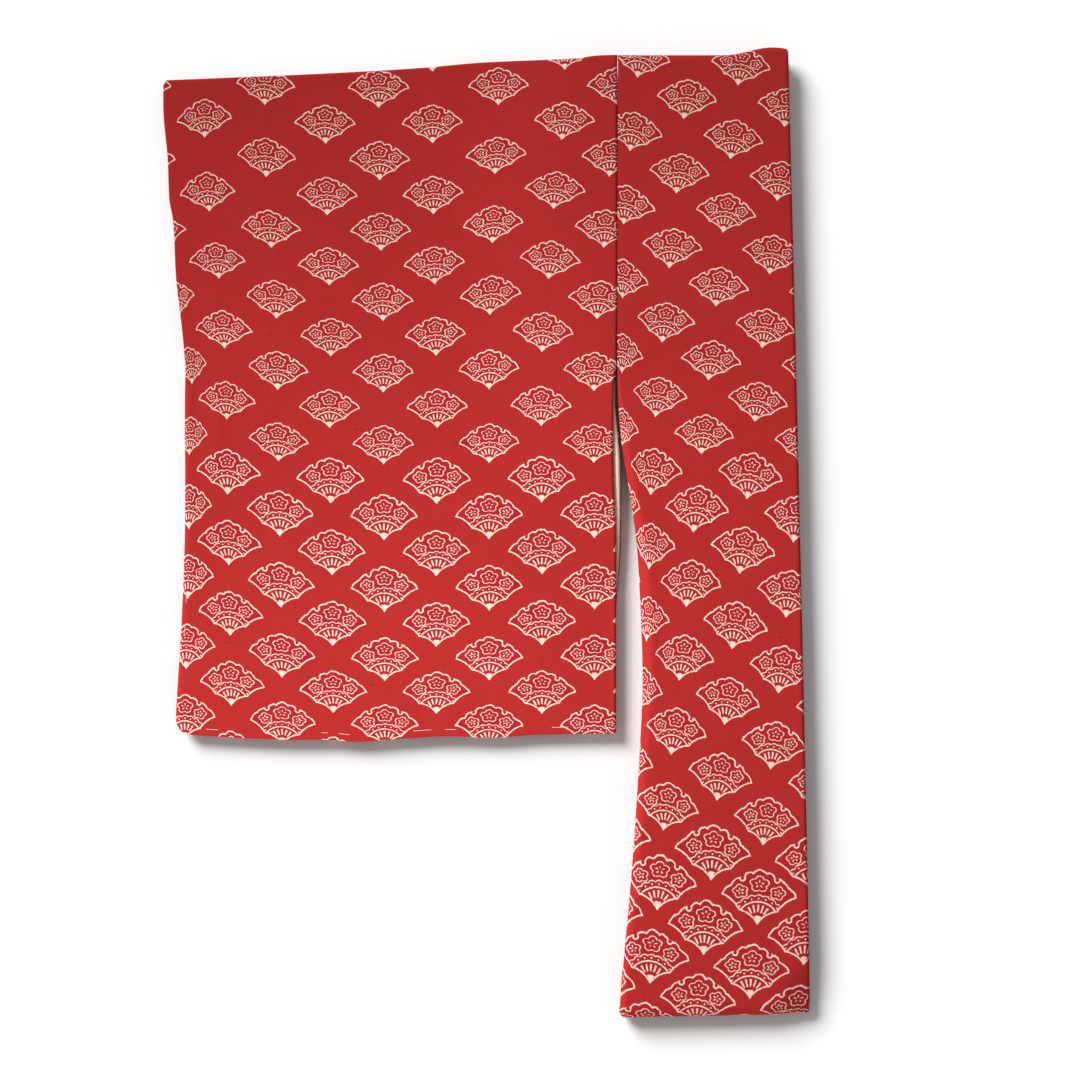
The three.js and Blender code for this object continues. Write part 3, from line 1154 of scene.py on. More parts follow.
@dataclass
class SleeveForm:
    """Plan and heights of the two sleeves, which lie on each other."""

    pile: Pile
    under: float = 6.3
    lining: float = 1.0
    rise_run: float = 120.0
    armhole_end: float = 123.0
    rise_end: float = -25.0
    edge_width: float = 5.0
    edge_drop: float = 1.25
    sewn_fade: Fade = Fade(100, 116)
    hidden_inset: float = 0.7
    plan_left: float = -225.0
    plan_right: float = 95.0
    plan_rounds: int = 4
    bottom_corner: EdgeX = EdgeX(-150, -229)
    top_corner: EdgeX = EdgeX(333, -237)
    corner_bottom: float = 12.0
    corner_top: float = 3.0
    shoulder_fade: Fade = Fade(0, 30)
    swell_end: Fade = Fade(60, 90)
    crease_start: Fade = Fade(0, 12)
    crease_end: Fade = Fade(70, 94)

    def __post_init__(self) -> None:
        """Work out the heights and the smooth lines of the plan."""
        self.near_height = self.under + 3 * SEAM_GAP + 2 * CLOTH + self.lining
        self.rise = self.pile.height - self.near_height
        self.shoulder_y = Course(SLEEVE_SHOULDER, "x", "y")
        self.bottom_y = Course(SLEEVE_BOTTOM, "x", "y")
        self.wrist_x = Course(SLEEVE_WRIST, "y", "x")
        self.free_x = Course(SLEEVE_FREE_EDGE, "y", "x")
        self.far_x = Course(FAR_WALL_EDGE, "y", "x")
        self.print = SleevePrint()

    def rise_at(self, x: float, y: float) -> float:
        """Work out the sleeve's rise towards the armhole seam.

        Args:
            x, y: the place on the plan.

        Returns:
            The height that the sleeve gains there.
        """
        share = clamp01((self.pile.side_x(y) - x) / self.rise_run)
        climb = 0.5 * (1 + math.cos(math.pi * share))
        return self.rise * climb * smooth(self.rise_end, self.armhole_end, y)

    def plan(self, s: float, t: float, right: Callable[[float], float], inset: float) -> Pair:
        """Find a place of the plan.

        Args:
            s: the share of the way from the wrist to the body.
            t: the share of the way from the bottom to the shoulder.
            right: gives the edge's x towards the body at y.
            inset: how far the outline stands back.

        Returns:
            The place's x and y.
        """
        x, y = mix(self.plan_left, self.plan_right, s), 0.0
        for _ in range(self.plan_rounds):
            y = mix(self.bottom_y(x) + inset, self.shoulder_y(x) - inset, t)
            x = mix(self.wrist_x(y) + inset, right(y), s)
        low, high = self.bottom_corner, self.top_corner
        corner = (self.wrist_x(low.y) + inset, self.bottom_y(low.x) + inset)
        x, y = self._round(x, y, corner, self.corner_bottom, 1)
        corner = (self.wrist_x(high.y) + inset, self.shoulder_y(high.x) - inset)
        return self._round(x, y, corner, self.corner_top, -1)

    @staticmethod
    def _round(x: float, y: float, corner: Pair, radius: float, up: int) -> Pair:
        """Draw a square corner of the wrist side in to a round one.

        Args:
            x, y: the place with the square corner.
            corner: the corner's place.
            radius: the round corner's radius.
            up: 1 where the sleeve lies above the corner, and -1 where it lies below.

        Returns:
            The place with the round corner.
        """
        middle_x, middle_y = corner[0] + radius, corner[1] + up * radius
        a, b = (middle_x - x) / radius, (middle_y - y) * up / radius
        if a <= 0 or b <= 0:
            return x, y
        scale = max(a, b) / math.hypot(a, b)
        return middle_x - a * scale * radius, middle_y - up * b * scale * radius

    def sewn_drop(self, x: float, y: float) -> float:
        """Work out how far the near wall bends down to the far one at its sewn edges.

        Args:
            x, y: the place on the plan.

        Returns:
            The depth of the bend there.
        """
        sewn_side = 1 - self.sewn_fade.at(y)
        wrist = self._bend(x - self.wrist_x(y)) * sewn_side
        return max(wrist, self._bend(y - self.bottom_y(x)))

    def _bend(self, distance: float) -> float:
        """Return how far a sewn edge bends down at a distance from it."""
        share = clamp01(1 - distance / self.edge_width)
        return self.edge_drop * (1 - math.sqrt(1 - share * share))

    def near_top(self, x: float, y: float) -> float:
        """Work out the height of the near wall's face.

        Args:
            x, y: the place on the plan.

        Returns:
            The height there.
        """
        fade = self.shoulder_fade.at(self.shoulder_y(x) - y)
        swell = swell_at(SLEEVE_SWELLS, x, y) * (1 - self.swell_end.at(x))
        wrist = self.crease_start.at(x - self.wrist_x(y))
        inner = wrist * self.crease_start.at(y - self.bottom_y(x))
        crease = inner * crease_at(SLEEVE_CREASES, x, y) * (1 - self.crease_end.at(x))
        rise = self.near_height + self.rise_at(x, y) - self.sewn_drop(x, y)
        return rise + fade * (swell + crease)

    def far_bottom(self, x: float, y: float) -> float:
        """Return the height of the far wall's underside."""
        return self.under + SEAM_GAP + self.rise_at(x, y)


class Stretch(NamedTuple):
    """Evenly spaced grid lines: how many steps, and the shares that they run between."""

    count: int
    start: float
    end: float

    def lines(self) -> list[float]:
        """Return the grid lines."""
        return steps(self.count, self.start, self.end)


@dataclass
class ShownSleeve(Part):
    """The near sleeve: near wall, fold along the shoulder and far wall."""

    form: SleeveForm
    node: str = "sleeve_shown"
    flat: Pair = (0.325, 0.995)
    wrist_lines: Stretch = Stretch(6, 0.0, 0.02)
    across_lines: Stretch = Stretch(84, 0.03, 0.985)
    free_lines: Stretch = Stretch(1, 0.993, 1.0)
    bottom_lines: Stretch = Stretch(6, 0.0, 0.014)
    near_lines: Stretch = Stretch(120, 0.022, 0.993)
    turn_steps: int = 10
    far_lines: Stretch = Stretch(40, 0.985, 0.0)

    def build(self) -> bpy.types.Object:
        """Make the sleeve.

        Returns:
            The new object.
        """
        stretches = (self.wrist_lines, self.across_lines, self.free_lines)
        across = [line for stretch in stretches for line in stretch.lines()]
        near = [*self.bottom_lines.lines(), *self.near_lines.lines()]
        along = [
            *(SleeveStation(Run.NEAR, t) for t in near),
            *(SleeveStation(Run.TURN, t) for t in steps(self.turn_steps)),
            *(SleeveStation(Run.FAR, t) for t in self.far_lines.lines()),
        ]
        box = BentBox(
            "sleeve",
            across,
            along,
            [0.0, CLOTH],
            self._place,
            self._unrolled,
            self.form.print,
        )
        return box.build()

    @property
    def _turn_radius(self) -> float:
        """The radius of the fold along the shoulder."""
        return (self.form.near_height - self.form.under - SEAM_GAP) / 2

    def _place(self, s: float, place: SleeveStation, inside: float) -> Spot:
        """Find a point of the sleeve.

        Args:
            s: the share of the sleeve's width.
            place: the station along its cloth.
            inside: how far inside its face.

        Returns:
            The point.
        """
        form = self.form
        if place.run is Run.NEAR:
            x, y = form.plan(s, place.t, form.free_x, 0.0)
            return x, y, form.near_top(x, y) - inside
        if place.run is Run.FAR:
            x, y = form.plan(s, place.t, form.far_x, form.hidden_inset)
            return x, y, form.far_bottom(x, y) + inside
        x, edge = form.plan(s, 1.0, form.free_x, 0.0)
        radius = self._turn_radius
        reach = radius - inside
        middle = form.far_bottom(x, edge) + radius
        angle = math.pi * place.t
        y = edge - radius + reach * math.sin(angle)
        return x, y, middle + reach * math.cos(angle)

    def _unrolled(self, s: float, place: SleeveStation, _: float) -> Pair:
        """Find the same point on the flat cloth, where the far wall follows the fold.

        Args:
            s: the share of the sleeve's width.
            place: the station along its cloth.

        Returns:
            The point's x and y on the flat cloth.
        """
        form = self.form
        if place.run is Run.NEAR:
            return form.plan(s, place.t, form.free_x, 0.0)
        if place.run is Run.TURN:
            x, edge = form.plan(s, 1.0, form.free_x, 0.0)
            radius = self._turn_radius
            return x, edge - radius + radius * math.pi * place.t
        x, y = form.plan(s, place.t, form.far_x, form.hidden_inset)
        return x, 2 * form.shoulder_y(x) - y


@dataclass
class SleeveLining(Part):
    """The pale lining along the sleeve's open edge, which lies on the far wall."""

    form: SleeveForm
    node: str = "sleeve_lining_at_open_edge"
    flat: Pair = (0.036, 0.25)
    held: Held = Held.LAID
    slot: Slot = Slot.LINING
    across_lines: Stretch = Stretch(10, 0.9, 0.9975)
    along_lines: Stretch = Stretch(70, 0.009, 0.52)

    def build(self) -> bpy.types.Object:
        """Make the lining.

        Returns:
            The new object.
        """
        box = BentBox(
            "sleeve_lining",
            self.across_lines.lines(),
            self.along_lines.lines(),
            [0.0, self.form.lining],
            self._place,
            self._unrolled,
            self.form.print,
        )
        return box.build()

    def _place(self, s: float, t: float, inside: float) -> Spot:
        """Find a point of the lining.

        Args:
            s, t: the shares of the sleeve's width and depth.
            inside: how far above the lining's underside.

        Returns:
            The point.
        """
        x, y = self._unrolled(s, t, inside)
        return x, y, self.form.far_bottom(x, y) + CLOTH + SEAM_GAP + inside

    def _unrolled(self, s: float, t: float, _: float) -> Pair:
        """Return the same point on the flat cloth."""
        return self.form.plan(s, t, self.form.far_x, self.form.hidden_inset)


@dataclass
class HiddenSleeve(Part):
    """The other sleeve below, its two walls closed to one layered solid."""

    form: SleeveForm
    node: str = "sleeve_folded_under"
    flat: Pair = (0.325, 0.49)
    inset: float = 2.2
    walls: int = 2
    roundness: float = 0.9
    edge_lines: Stretch = Stretch(3, 0.0, 0.01)
    across_lines: Stretch = Stretch(30, 0.03, 0.99)
    along_lines: Stretch = Stretch(44, 0.03, 0.99)
    level_steps: int = 12

    def build(self) -> bpy.types.Object:
        """Make the hidden sleeve.

        Returns:
            The new object.
        """
        edge = self.edge_lines.lines()
        box = BentBox(
            "sleeve_under",
            [*edge, *self.across_lines.lines(), 1.0],
            [*edge, *self.along_lines.lines(), 1.0],
            steps(self.level_steps),
            self._place,
            self._unrolled,
            self.form.print,
        )
        return box.build()

    def _place(self, s: float, t: float, level: float) -> Spot:
        """Find a point of the hidden sleeve.

        Args:
            s, t: the shares of its width and depth.
            level: the share of its height.

        Returns:
            The point.
        """
        x, y = self._unrolled(s, t, level)
        off = 2 * ((level * self.walls) % 1) - 1
        back = self.roundness * (1 - math.sqrt(max(0.0, 1 - off * off)))
        end_x = (s == 0) - (s == 1)
        end_y = (t == 0) - (t == 1)
        z = self.form.rise_at(x, y) + level * self.form.under
        return x + back * end_x, y + back * end_y, z

    def _unrolled(self, s: float, t: float, _: float) -> Pair:
        """Return the same point on the flat cloth."""
        return self.form.plan(s, t, lambda y: self.form.far_x(y) - self.inset, self.inset)


@dataclass
class Basting:
    """Long running stitches of pale thread just inside the sleeve's sewn edges."""

    form: SleeveForm
    bottom_inset: float = 5.2
    wrist_inset: float = 2.8
    radius: float = 0.19
    rings: int = 14
    corners: int = 8
    proud: float = 0.06
    dive: float = 0.35
    bluntness: int = 6

    def dressed(self, finish: bpy.types.Material) -> list[bpy.types.Object]:
        """Build and dress one piece for each edge.

        Args:
            finish: the thread's material.

        Returns:
            The bottom's and the wrist side's stitches.
        """
        rows = self.build()
        for row in rows:
            row.data.materials.append(finish)
            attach(row, BODY)
        return rows

    def build(self) -> list[bpy.types.Object]:
        """Make one piece for each edge.

        Returns:
            The bottom's and the wrist side's stitches.
        """
        form = self.form
        bottom = self._row(
            "basting_bottom",
            BOTTOM_BASTING,
            lambda run: (run, form.bottom_y(run) + self.bottom_inset),
        )
        wrist = self._row(
            "basting_wrist",
            WRIST_BASTING,
            lambda run: (form.wrist_x(run) + self.wrist_inset, run),
        )
        return [bottom, wrist]

    def _row(
        self, name: str, stitches: Iterable[Stitch], line: Callable[[float], Pair]
    ) -> bpy.types.Object:
        """Make a row of stitches as one piece.

        Args:
            name: the piece's name.
            stitches: the stitches along the row.
            line: gives x and y at a distance along the row.

        Returns:
            The new object.
        """
        bm = bmesh.new()
        for stitch in stitches:
            self._stitch(bm, stitch, line)
        close_up(bm)
        return link_mesh(name, bm, True)

    def _stitch(
        self, bm: bmesh.types.BMesh, stitch: Stitch, line: Callable[[float], Pair]
    ) -> None:
        """Roll a grid into one round stitch whose closed ends dive into the cloth.

        Args:
            bm: the mesh that is being made.
            stitch: the stitch.
            line: gives x and y at a distance along the row.
        """
        made = bmesh.ops.create_grid(
            bm, x_segments=self.rings, y_segments=self.corners, size=1.0
        )
        start, end = line(stitch.start), line(stitch.start + stitch.length)
        up = Vector((0, 0, 1))
        way = Vector((end[0] - start[0], end[1] - start[1], 0)).normalized()
        side = way.cross(up)
        for vert in made["verts"]:
            run, turn = vert.co.x, math.pi * vert.co.y
            closing = run**self.bluntness
            thick = self.radius * math.sqrt(max(0.0, 1 - closing))
            x, y = line(stitch.start + stitch.length * (run + 1) / 2)
            z = self.form.near_top(x, y) + mix(self.proud, -self.dive, closing)
            spot = Vector((x, y, z)) + thick * (side * math.cos(turn) + up * math.sin(turn))
            vert.co = (spot - OUTLINE_CENTRE) * MM


# ---- Numbers over a surface, as chains of nodes ------------------------------------


class Signal:
    """A number that varies over the surface: one output of a node."""

    def __init__(self, tree: bpy.types.NodeTree, socket: bpy.types.NodeSocket) -> None:
        """Keep the node tree and the output."""
        self.tree = tree
        self.socket = socket

    def _math(self, operation: str, *others: "Signal | float", clamp: bool = False) -> "Signal":
        """Add a Math node that starts with this number.

        Args:
            operation: the node's operation.
            others: its other inputs.
            clamp: whether the result is held between 0 and 1.

        Returns:
            The node's result.
        """
        node = self.tree.nodes.new("ShaderNodeMath")
        node.operation = operation
        node.use_clamp = clamp
        for socket, value in zip(node.inputs, (self, *others)):
            if isinstance(value, Signal):
                self.tree.links.new(value.socket, socket)
            else:
                socket.default_value = value
        return Signal(self.tree, node.outputs[0])

    def __add__(self, other: "Signal | float") -> "Signal":
        """Return the sum."""
        return self._math("ADD", other)

    def __sub__(self, other: "Signal | float") -> "Signal":
        """Return the difference."""
        return self._math("SUBTRACT", other)

    def __mul__(self, other: "Signal | float") -> "Signal":
        """Return the product."""
        return self._math("MULTIPLY", other)

    def __truediv__(self, other: "Signal | float") -> "Signal":
        """Return the quotient."""
        return self._math("DIVIDE", other)

    def scaled(self, factor: "Signal | float", shift: "Signal | float") -> "Signal":
        """Return the number times a factor plus a shift."""
        return self._math("MULTIPLY_ADD", factor, shift)

    def least(self, *others: "Signal | float") -> "Signal":
        """Find the smallest of several numbers.

        Args:
            others: the numbers beside this one.

        Returns:
            The smallest.
        """
        result = self
        for other in others:
            result = result._math("MINIMUM", other)
        return result

    def most(self, *others: "Signal | float") -> "Signal":
        """Find the largest of several numbers.

        Args:
            others: the numbers beside this one.

        Returns:
            The largest.
        """
        result = self
        for other in others:
            result = result._math("MAXIMUM", other)
        return result

    def above(self, other: "Signal | float") -> "Signal":
        """Return 1 where the number is the larger one, and 0 elsewhere."""
        return self._math("GREATER_THAN", other)

    def size(self) -> "Signal":
        """Return the number without its sign."""
        return self._math("ABSOLUTE")

    def nearest(self) -> "Signal":
        """Return the nearest whole number."""
        return self._math("ROUND")

    def sine(self) -> "Signal":
        """Return the sine."""
        return self._math("SINE")

    def cosine(self) -> "Signal":
        """Return the cosine."""
        return self._math("COSINE")

    def angle(self, other: "Signal") -> "Signal":
        """Return the angle whose tangent is this number over the other."""
        return self._math("ARCTAN2", other)

    def inside(self, softness: float) -> "Signal":
        """Return 1 where a signed distance is negative, with a soft edge."""
        return self._math("MULTIPLY_ADD", -1.0 / softness, 0.5, clamp=True)

    def between(self, low: "Signal | float", high: "Signal | float") -> "Signal":
        """Mix two numbers by this one.

        Args:
            low: the result where this number is 0.
            high: the result where it is 1.

        Returns:
            The mixed number.
        """
        node = self.tree.nodes.new("ShaderNodeMix")
        node.data_type = "FLOAT"
        sockets = (node.inputs[0], node.inputs[2], node.inputs[3])
        for socket, value in zip(sockets, (self, low, high)):
            if isinstance(value, Signal):
                self.tree.links.new(value.socket, socket)
            else:
                socket.default_value = value
        return Signal(self.tree, node.outputs[0])


class Plane:
    """A pair of numbers over the surface, as a flat vector."""

    def __init__(self, tree: bpy.types.NodeTree, socket: bpy.types.NodeSocket) -> None:
        """Keep the node tree and the vector output."""
        self.tree = tree
        self.socket = socket

    @classmethod
    def of(cls, x: Signal, y: Signal) -> "Plane":
        """Join two numbers.

        Args:
            x, y: the numbers.

        Returns:
            The pair.
        """
        node = x.tree.nodes.new("ShaderNodeCombineXYZ")
        x.tree.links.new(x.socket, node.inputs[0])
        x.tree.links.new(y.socket, node.inputs[1])
        return cls(x.tree, node.outputs[0])

    def split(self) -> tuple[Signal, Signal]:
        """Part the pair.

        Returns:
            The two numbers.
        """
        node = self.tree.nodes.new("ShaderNodeSeparateXYZ")
        self.tree.links.new(self.socket, node.inputs[0])
        return Signal(self.tree, node.outputs[0]), Signal(self.tree, node.outputs[1])

    def to(self, x: float, y: float) -> Signal:
        """Measure the distance to a point.

        Args:
            x, y: the point.

        Returns:
            The distance.
        """
        node = self.tree.nodes.new("ShaderNodeVectorMath")
        node.operation = "DISTANCE"
        self.tree.links.new(self.socket, node.inputs[0])
        node.inputs[1].default_value = (x, y, 0.0)
        return Signal(self.tree, node.outputs["Value"])

    def disc(self, disc: "Disc") -> Signal:
        """Return the signed distance to a disc, negative inside."""
        return self.to(disc.across, disc.up) - disc.radius

    def scaled(self, x: float, y: float) -> "Plane":
        """Scale the pair by one factor each.

        Args:
            x, y: the factors.

        Returns:
            The scaled pair.
        """
        node = self.tree.nodes.new("ShaderNodeVectorMath")
        node.operation = "MULTIPLY"
        self.tree.links.new(self.socket, node.inputs[0])
        node.inputs[1].default_value = (x, y, 1.0)
        return Plane(self.tree, node.outputs[0])

    def noise(self, scale: float, detail: float = 0.0, roughness: float = 0.5) -> Signal:
        """Make smooth noise on the plane.

        Args:
            scale: how fine the noise is.
            detail: how many finer layers it has.
            roughness: how strong these are.

        Returns:
            The noise, from 0 to 1.
        """
        node = self.tree.nodes.new("ShaderNodeTexNoise")
        node.noise_dimensions = "2D"
        self.tree.links.new(self.socket, node.inputs["Vector"])
        node.inputs["Scale"].default_value = scale
        node.inputs["Detail"].default_value = detail
        node.inputs["Roughness"].default_value = roughness
        return Signal(self.tree, node.outputs[0])


Inputs = dict[str, Signal | Plane]


@dataclass(frozen=True)
class Socket:
    """One named input or output of a node group."""

    name: str
    vector: bool = False
    value: float = 0.0


class Effect:
    """A node group that is built once and placed in every material that uses it."""

    title = "Effect"
    takes: tuple[Socket, ...] = ()
    gives: tuple[Socket, ...] = ()

    def group(self) -> bpy.types.ShaderNodeTree:
        """Find the group, or build it at its first use.

        Returns:
            The group.
        """
        found = bpy.data.node_groups.get(self.title)
        if found:
            return found
        tree = bpy.data.node_groups.new(self.title, "ShaderNodeTree")
        for sockets, way in ((self.takes, "INPUT"), (self.gives, "OUTPUT")):
            for socket in sockets:
                kind = "NodeSocketVector" if socket.vector else "NodeSocketFloat"
                made = tree.interface.new_socket(socket.name, in_out=way, socket_type=kind)
                if not socket.vector:
                    made.default_value = socket.value
        source = tree.nodes.new("NodeGroupInput")
        target = tree.nodes.new("NodeGroupOutput")
        values = {}
        for socket in self.takes:
            kind = Plane if socket.vector else Signal
            values[socket.name] = kind(tree, source.outputs[socket.name])
        for name, signal in self.make(values).items():
            tree.links.new(signal.socket, target.inputs[name])
        return tree

    def make(self, values: Inputs) -> dict[str, Signal]:
        """Build the inside of the group.

        Args:
            values: the group's inputs by name.

        Returns:
            The group's outputs by name.
        """
        raise NotImplementedError


# ---- Effects ------------------------------------------------------------------------


class Disc(NamedTuple):
    """A disc of the fan, in fan widths from its pivot."""

    across: float
    up: float
    radius: float


class Blossom(NamedTuple):
    """A plum blossom in the fan; its turn is a share of one petal."""

    across: float
    up: float
    radius: float
    flat: float
    turn: float


FAN_LOBES = (
    Disc(0.0, 0.552, 0.105),
    Disc(0.122, 0.526, 0.09),
    Disc(0.215, 0.385, 0.17),
    Disc(0.30, 0.26, 0.207),
)
FAN_CUTS = (
    Disc(0.232, 0.543, 0.034),
    Disc(0.238, 0.588, 0.042),
    Disc(0.605, -0.071, 0.418),
    Disc(0.296, -0.195, 0.3545),
)
FAN_BLOSSOMS = (
    Blossom(0.0, 0.484, 0.13, 1.33, 0.0),
    Blossom(0.25, 0.382, 0.104, 1.25, 0.22),
)


@dataclass
class FanPrint(Effect):
    """Folding fans with plum blossoms, in lines left undyed, on a staggered lattice."""

    title = "Fan print"
    takes = (
        Socket("Lattice", vector=True),
        Socket("Pitch", vector=True),
        Socket("Step row"),
        Socket("Second step row", value=-99.0),
        Socket("Upper width", value=0.0444),
        Socket("Middle width", value=0.0495),
        Socket("Lower width", value=0.0495),
        Socket("Upper flatness", value=1.03),
        Socket("Lower flatness", value=0.98),
        Socket("Tilt"),
        Socket("Lower tilt"),
    )
    gives = (Socket("Line"), Socket("Fan"))
    softness: float = 0.007
    tip_up: float = 0.334
    reach: float = 0.572
    outline: float = 0.0094
    waver: float = 0.022
    waver_scale: float = 9.0
    line_waver: float = 0.014
    line_waver_scale: float = 26.0
    band_centre: float = -0.03
    inner_arc: float = 0.299
    inner_line: float = 0.0085
    scallop: float = 0.365
    scallop_rise: float = 0.018
    scallop_line: float = 0.0065
    scallops: float = 11.25
    dot_reach: float = 0.338
    dot_radius: float = 0.0105
    rib_spacing: float = 17.0
    rib_turn: float = 43.0
    rib_turn_slope: float = 0.3
    rib_start: float = 0.142
    rib_end: float = 0.232
    rib_width: float = 0.0025
    rib_widening: float = 0.042
    wedge: float = 0.097
    wedge_turn: float = 29.0
    wedge_turn_slope: float = 0.08
    petals: int = 5
    petal_depth: float = 0.27
    petal_line: float = 0.007
    stamen_reach: float = 0.36
    stamen_stretch: float = 0.5
    stamen_radius: float = 0.0085

    def make(self, values: Inputs) -> dict[str, Signal]:
        """Build the group: find the cell, then draw the fan in it.

        Args:
            values: the group's inputs by name.

        Returns:
            Masks of the undyed lines and of the fan.
        """
        spot = self._cell(values)
        across, up = spot.split()
        rho = spot.to(0, 0)
        body = rho - self.reach
        body = body.least(*(spot.disc(lobe) for lobe in FAN_LOBES))
        waver = values["Lattice"].noise(self.waver_scale)
        body = waver.scaled(self.waver, -self.waver / 2) + body
        cuts = [spot.disc(cut) * -1.0 for cut in FAN_CUTS]
        fan = body.most(*cuts, up * -1.0)
        details = self._band(spot, across, up).least(
            self._ribs(rho, across, up),
            *(self._blossom(spot, blossom) for blossom in FAN_BLOSSOMS),
        )
        lines = details.most(fan).least(fan.size() - self.outline)
        waver = values["Lattice"].noise(self.line_waver_scale, detail=1.0)
        lines = waver.scaled(-self.line_waver, self.line_waver / 2) + lines
        return {"Line": lines.inside(self.softness), "Fan": fan.inside(self.softness)}

    def _cell(self, values: Inputs) -> Plane:
        """Find the place in the nearest fan, mirrored to the fan's right half.

        Args:
            values: the group's inputs by name.

        Returns:
            The place, in fan widths from the fan's pivot.
        """
        column, row = values["Lattice"].split()
        pitch_x, pitch_y = values["Pitch"].split()
        half = column * 0.5
        even_x = (half - half.nearest()) * 2.0
        even_y = row - row.nearest()
        shifted, lifted = half - 0.5, row - 0.5
        odd_x = (shifted - shifted.nearest()) * 2.0
        odd_y = lifted - lifted.nearest()
        odd = (even_y.size().scaled(2.0, even_x.size())).above(1.0)
        x, y = odd.between(even_x, odd_x), odd.between(even_y, odd_y)
        middle = row - y
        width = middle.above(values["Step row"]).between(
            values["Middle width"], values["Upper width"]
        )
        upper = middle.above(values["Second step row"])
        width = upper.between(values["Lower width"], width)
        tilt = upper.between(values["Lower tilt"], values["Tilt"])
        flat = middle.above(values["Step row"]).between(
            values["Lower flatness"], values["Upper flatness"]
        )
        across, up = x * pitch_x / width, y * pitch_y / width * flat
        tilted = up.scaled(tilt * -1.0, across)
        raised = across.scaled(tilt, up) + self.tip_up
        return Plane.of(tilted.size(), raised)

    def _band(self, spot: Plane, across: Signal, up: Signal) -> Signal:
        """Draw the inner arc, and the scallops and dots over it.

        Args:
            spot: the place in the fan.
            across, up: its two numbers.

        Returns:
            The signed distance to their lines.
        """
        rho = spot.to(0, self.band_centre)
        turn = across.angle(up - self.band_centre)
        arc = (rho - self.inner_arc).size() - self.inner_line
        wave = (turn * self.scallops).cosine().size()
        rim = wave.scaled(self.scallop_rise, self.scallop)
        edge = (rho - rim).size() - self.scallop_line
        lobe = turn * (self.scallops / math.pi)
        off = (lobe - lobe.nearest()) * (math.pi / self.scallops * self.scallop)
        dot = Plane.of(off, rho).to(0, self.dot_reach) - self.dot_radius
        return arc.least(edge, dot)

    def _ribs(self, rho: Signal, across: Signal, up: Signal) -> Signal:
        """Draw the fan's ribs and the wedge that holds them.

        Args:
            rho: the distance from the pivot.
            across, up: the place in the fan.

        Returns:
            The signed distance to their edges.
        """
        spacing = math.radians(self.rib_spacing)
        theta = across.angle(up)
        turn = theta / spacing
        off = (turn - turn.nearest()).size() * spacing * rho
        rib = off - rho.scaled(self.rib_widening, self.rib_width)
        rib = rib.most(rho - self.rib_end, rho.scaled(-1.0, self.rib_start))
        slope = self.rib_turn_slope
        rib = rib.most(theta.scaled(slope, -slope * math.radians(self.rib_turn)))
        slope = self.wedge_turn_slope
        side = theta.scaled(slope, -slope * math.radians(self.wedge_turn))
        return rib.least((rho - self.wedge).most(side))

    def _blossom(self, spot: Plane, blossom: Blossom) -> Signal:
        """Draw a blossom's outline and its five stamens.

        Args:
            spot: the place in the fan.
            blossom: the blossom.

        Returns:
            The signed distance to their lines.
        """
        node = spot.tree.nodes.new("ShaderNodeVectorMath")
        node.operation = "MULTIPLY_ADD"
        spot.tree.links.new(spot.socket, node.inputs[0])
        node.inputs[1].default_value = (1.0, blossom.flat, 0.0)
        node.inputs[2].default_value = (-blossom.across, -blossom.up * blossom.flat, 0.0)
        place = Plane(spot.tree, node.outputs[0])
        x, y = place.split()
        rho = place.to(0, 0)
        turn = x.angle(y).scaled(self.petals / math.tau, -blossom.turn)
        petal = (turn * math.pi).cosine().size()
        notch = self.petal_depth * blossom.radius
        edge = (rho - petal.scaled(notch, blossom.radius - notch)).size() - self.petal_line
        off = (turn - turn.nearest()) * (math.tau / self.petals) * rho
        reach = self.stamen_stretch * self.stamen_reach * blossom.radius
        stamen = Plane.of(off, rho).scaled(1.0, self.stamen_stretch).to(0, reach)
        return edge.least(stamen - self.stamen_radius)


@dataclass
class Weave(Effect):
    """A plain weave with threads that swell here and there, and specks of raw fibre."""

    title = "Plain weave"
    takes = (Socket("Cloth", vector=True), Socket("Threads", value=1400.0))
    gives = (Socket("Height"), Socket("Tone"), Socket("Speck"))
    slub_scale: float = 900.0
    slub_stretch: float = 0.035
    slub_height: float = 0.8
    slub_tone: float = 0.22
    patch_scale: float = 9.0
    patch_tone: float = 0.12
    darkest: float = 0.89
    fleck_scale: float = 160.0
    fleck_stretch: float = 1.6
    fleck_gain: float = 9.0
    fleck_threshold: float = 7.6

    def make(self, values: Inputs) -> dict[str, Signal]:
        """Build the group.

        Args:
            values: the group's inputs by name.

        Returns:
            The height, the tone and the mask of the specks.
        """
        cloth = values["Cloth"]
        across, along = cloth.split()
        warp = (across * values["Threads"]) * math.pi
        weft = (along * values["Threads"]) * math.pi
        over = warp.sine() * weft.sine()
        height = over.scaled(0.5, 0.5)
        slub_x = cloth.scaled(1.0, self.slub_stretch).noise(self.slub_scale, detail=1.0)
        slub_y = cloth.scaled(self.slub_stretch, 1.0).noise(self.slub_scale, detail=1.0)
        patch = cloth.noise(self.patch_scale, detail=3.0, roughness=0.6)
        threads = slub_x.scaled(0.5, slub_y * 0.5)
        tone = threads.scaled(self.slub_tone, self.darkest)
        tone = tone + patch.scaled(self.patch_tone, -self.patch_tone / 2)
        fleck = cloth.scaled(1.0, self.fleck_stretch).noise(self.fleck_scale)
        speck = fleck.scaled(self.fleck_gain, -self.fleck_threshold).most(0.0).least(1.0)
        return {"Height": height + threads * self.slub_height, "Tone": tone, "Speck": speck}


# ---- Finishes -----------------------------------------------------------------------

Colour = tuple[float, float, float]


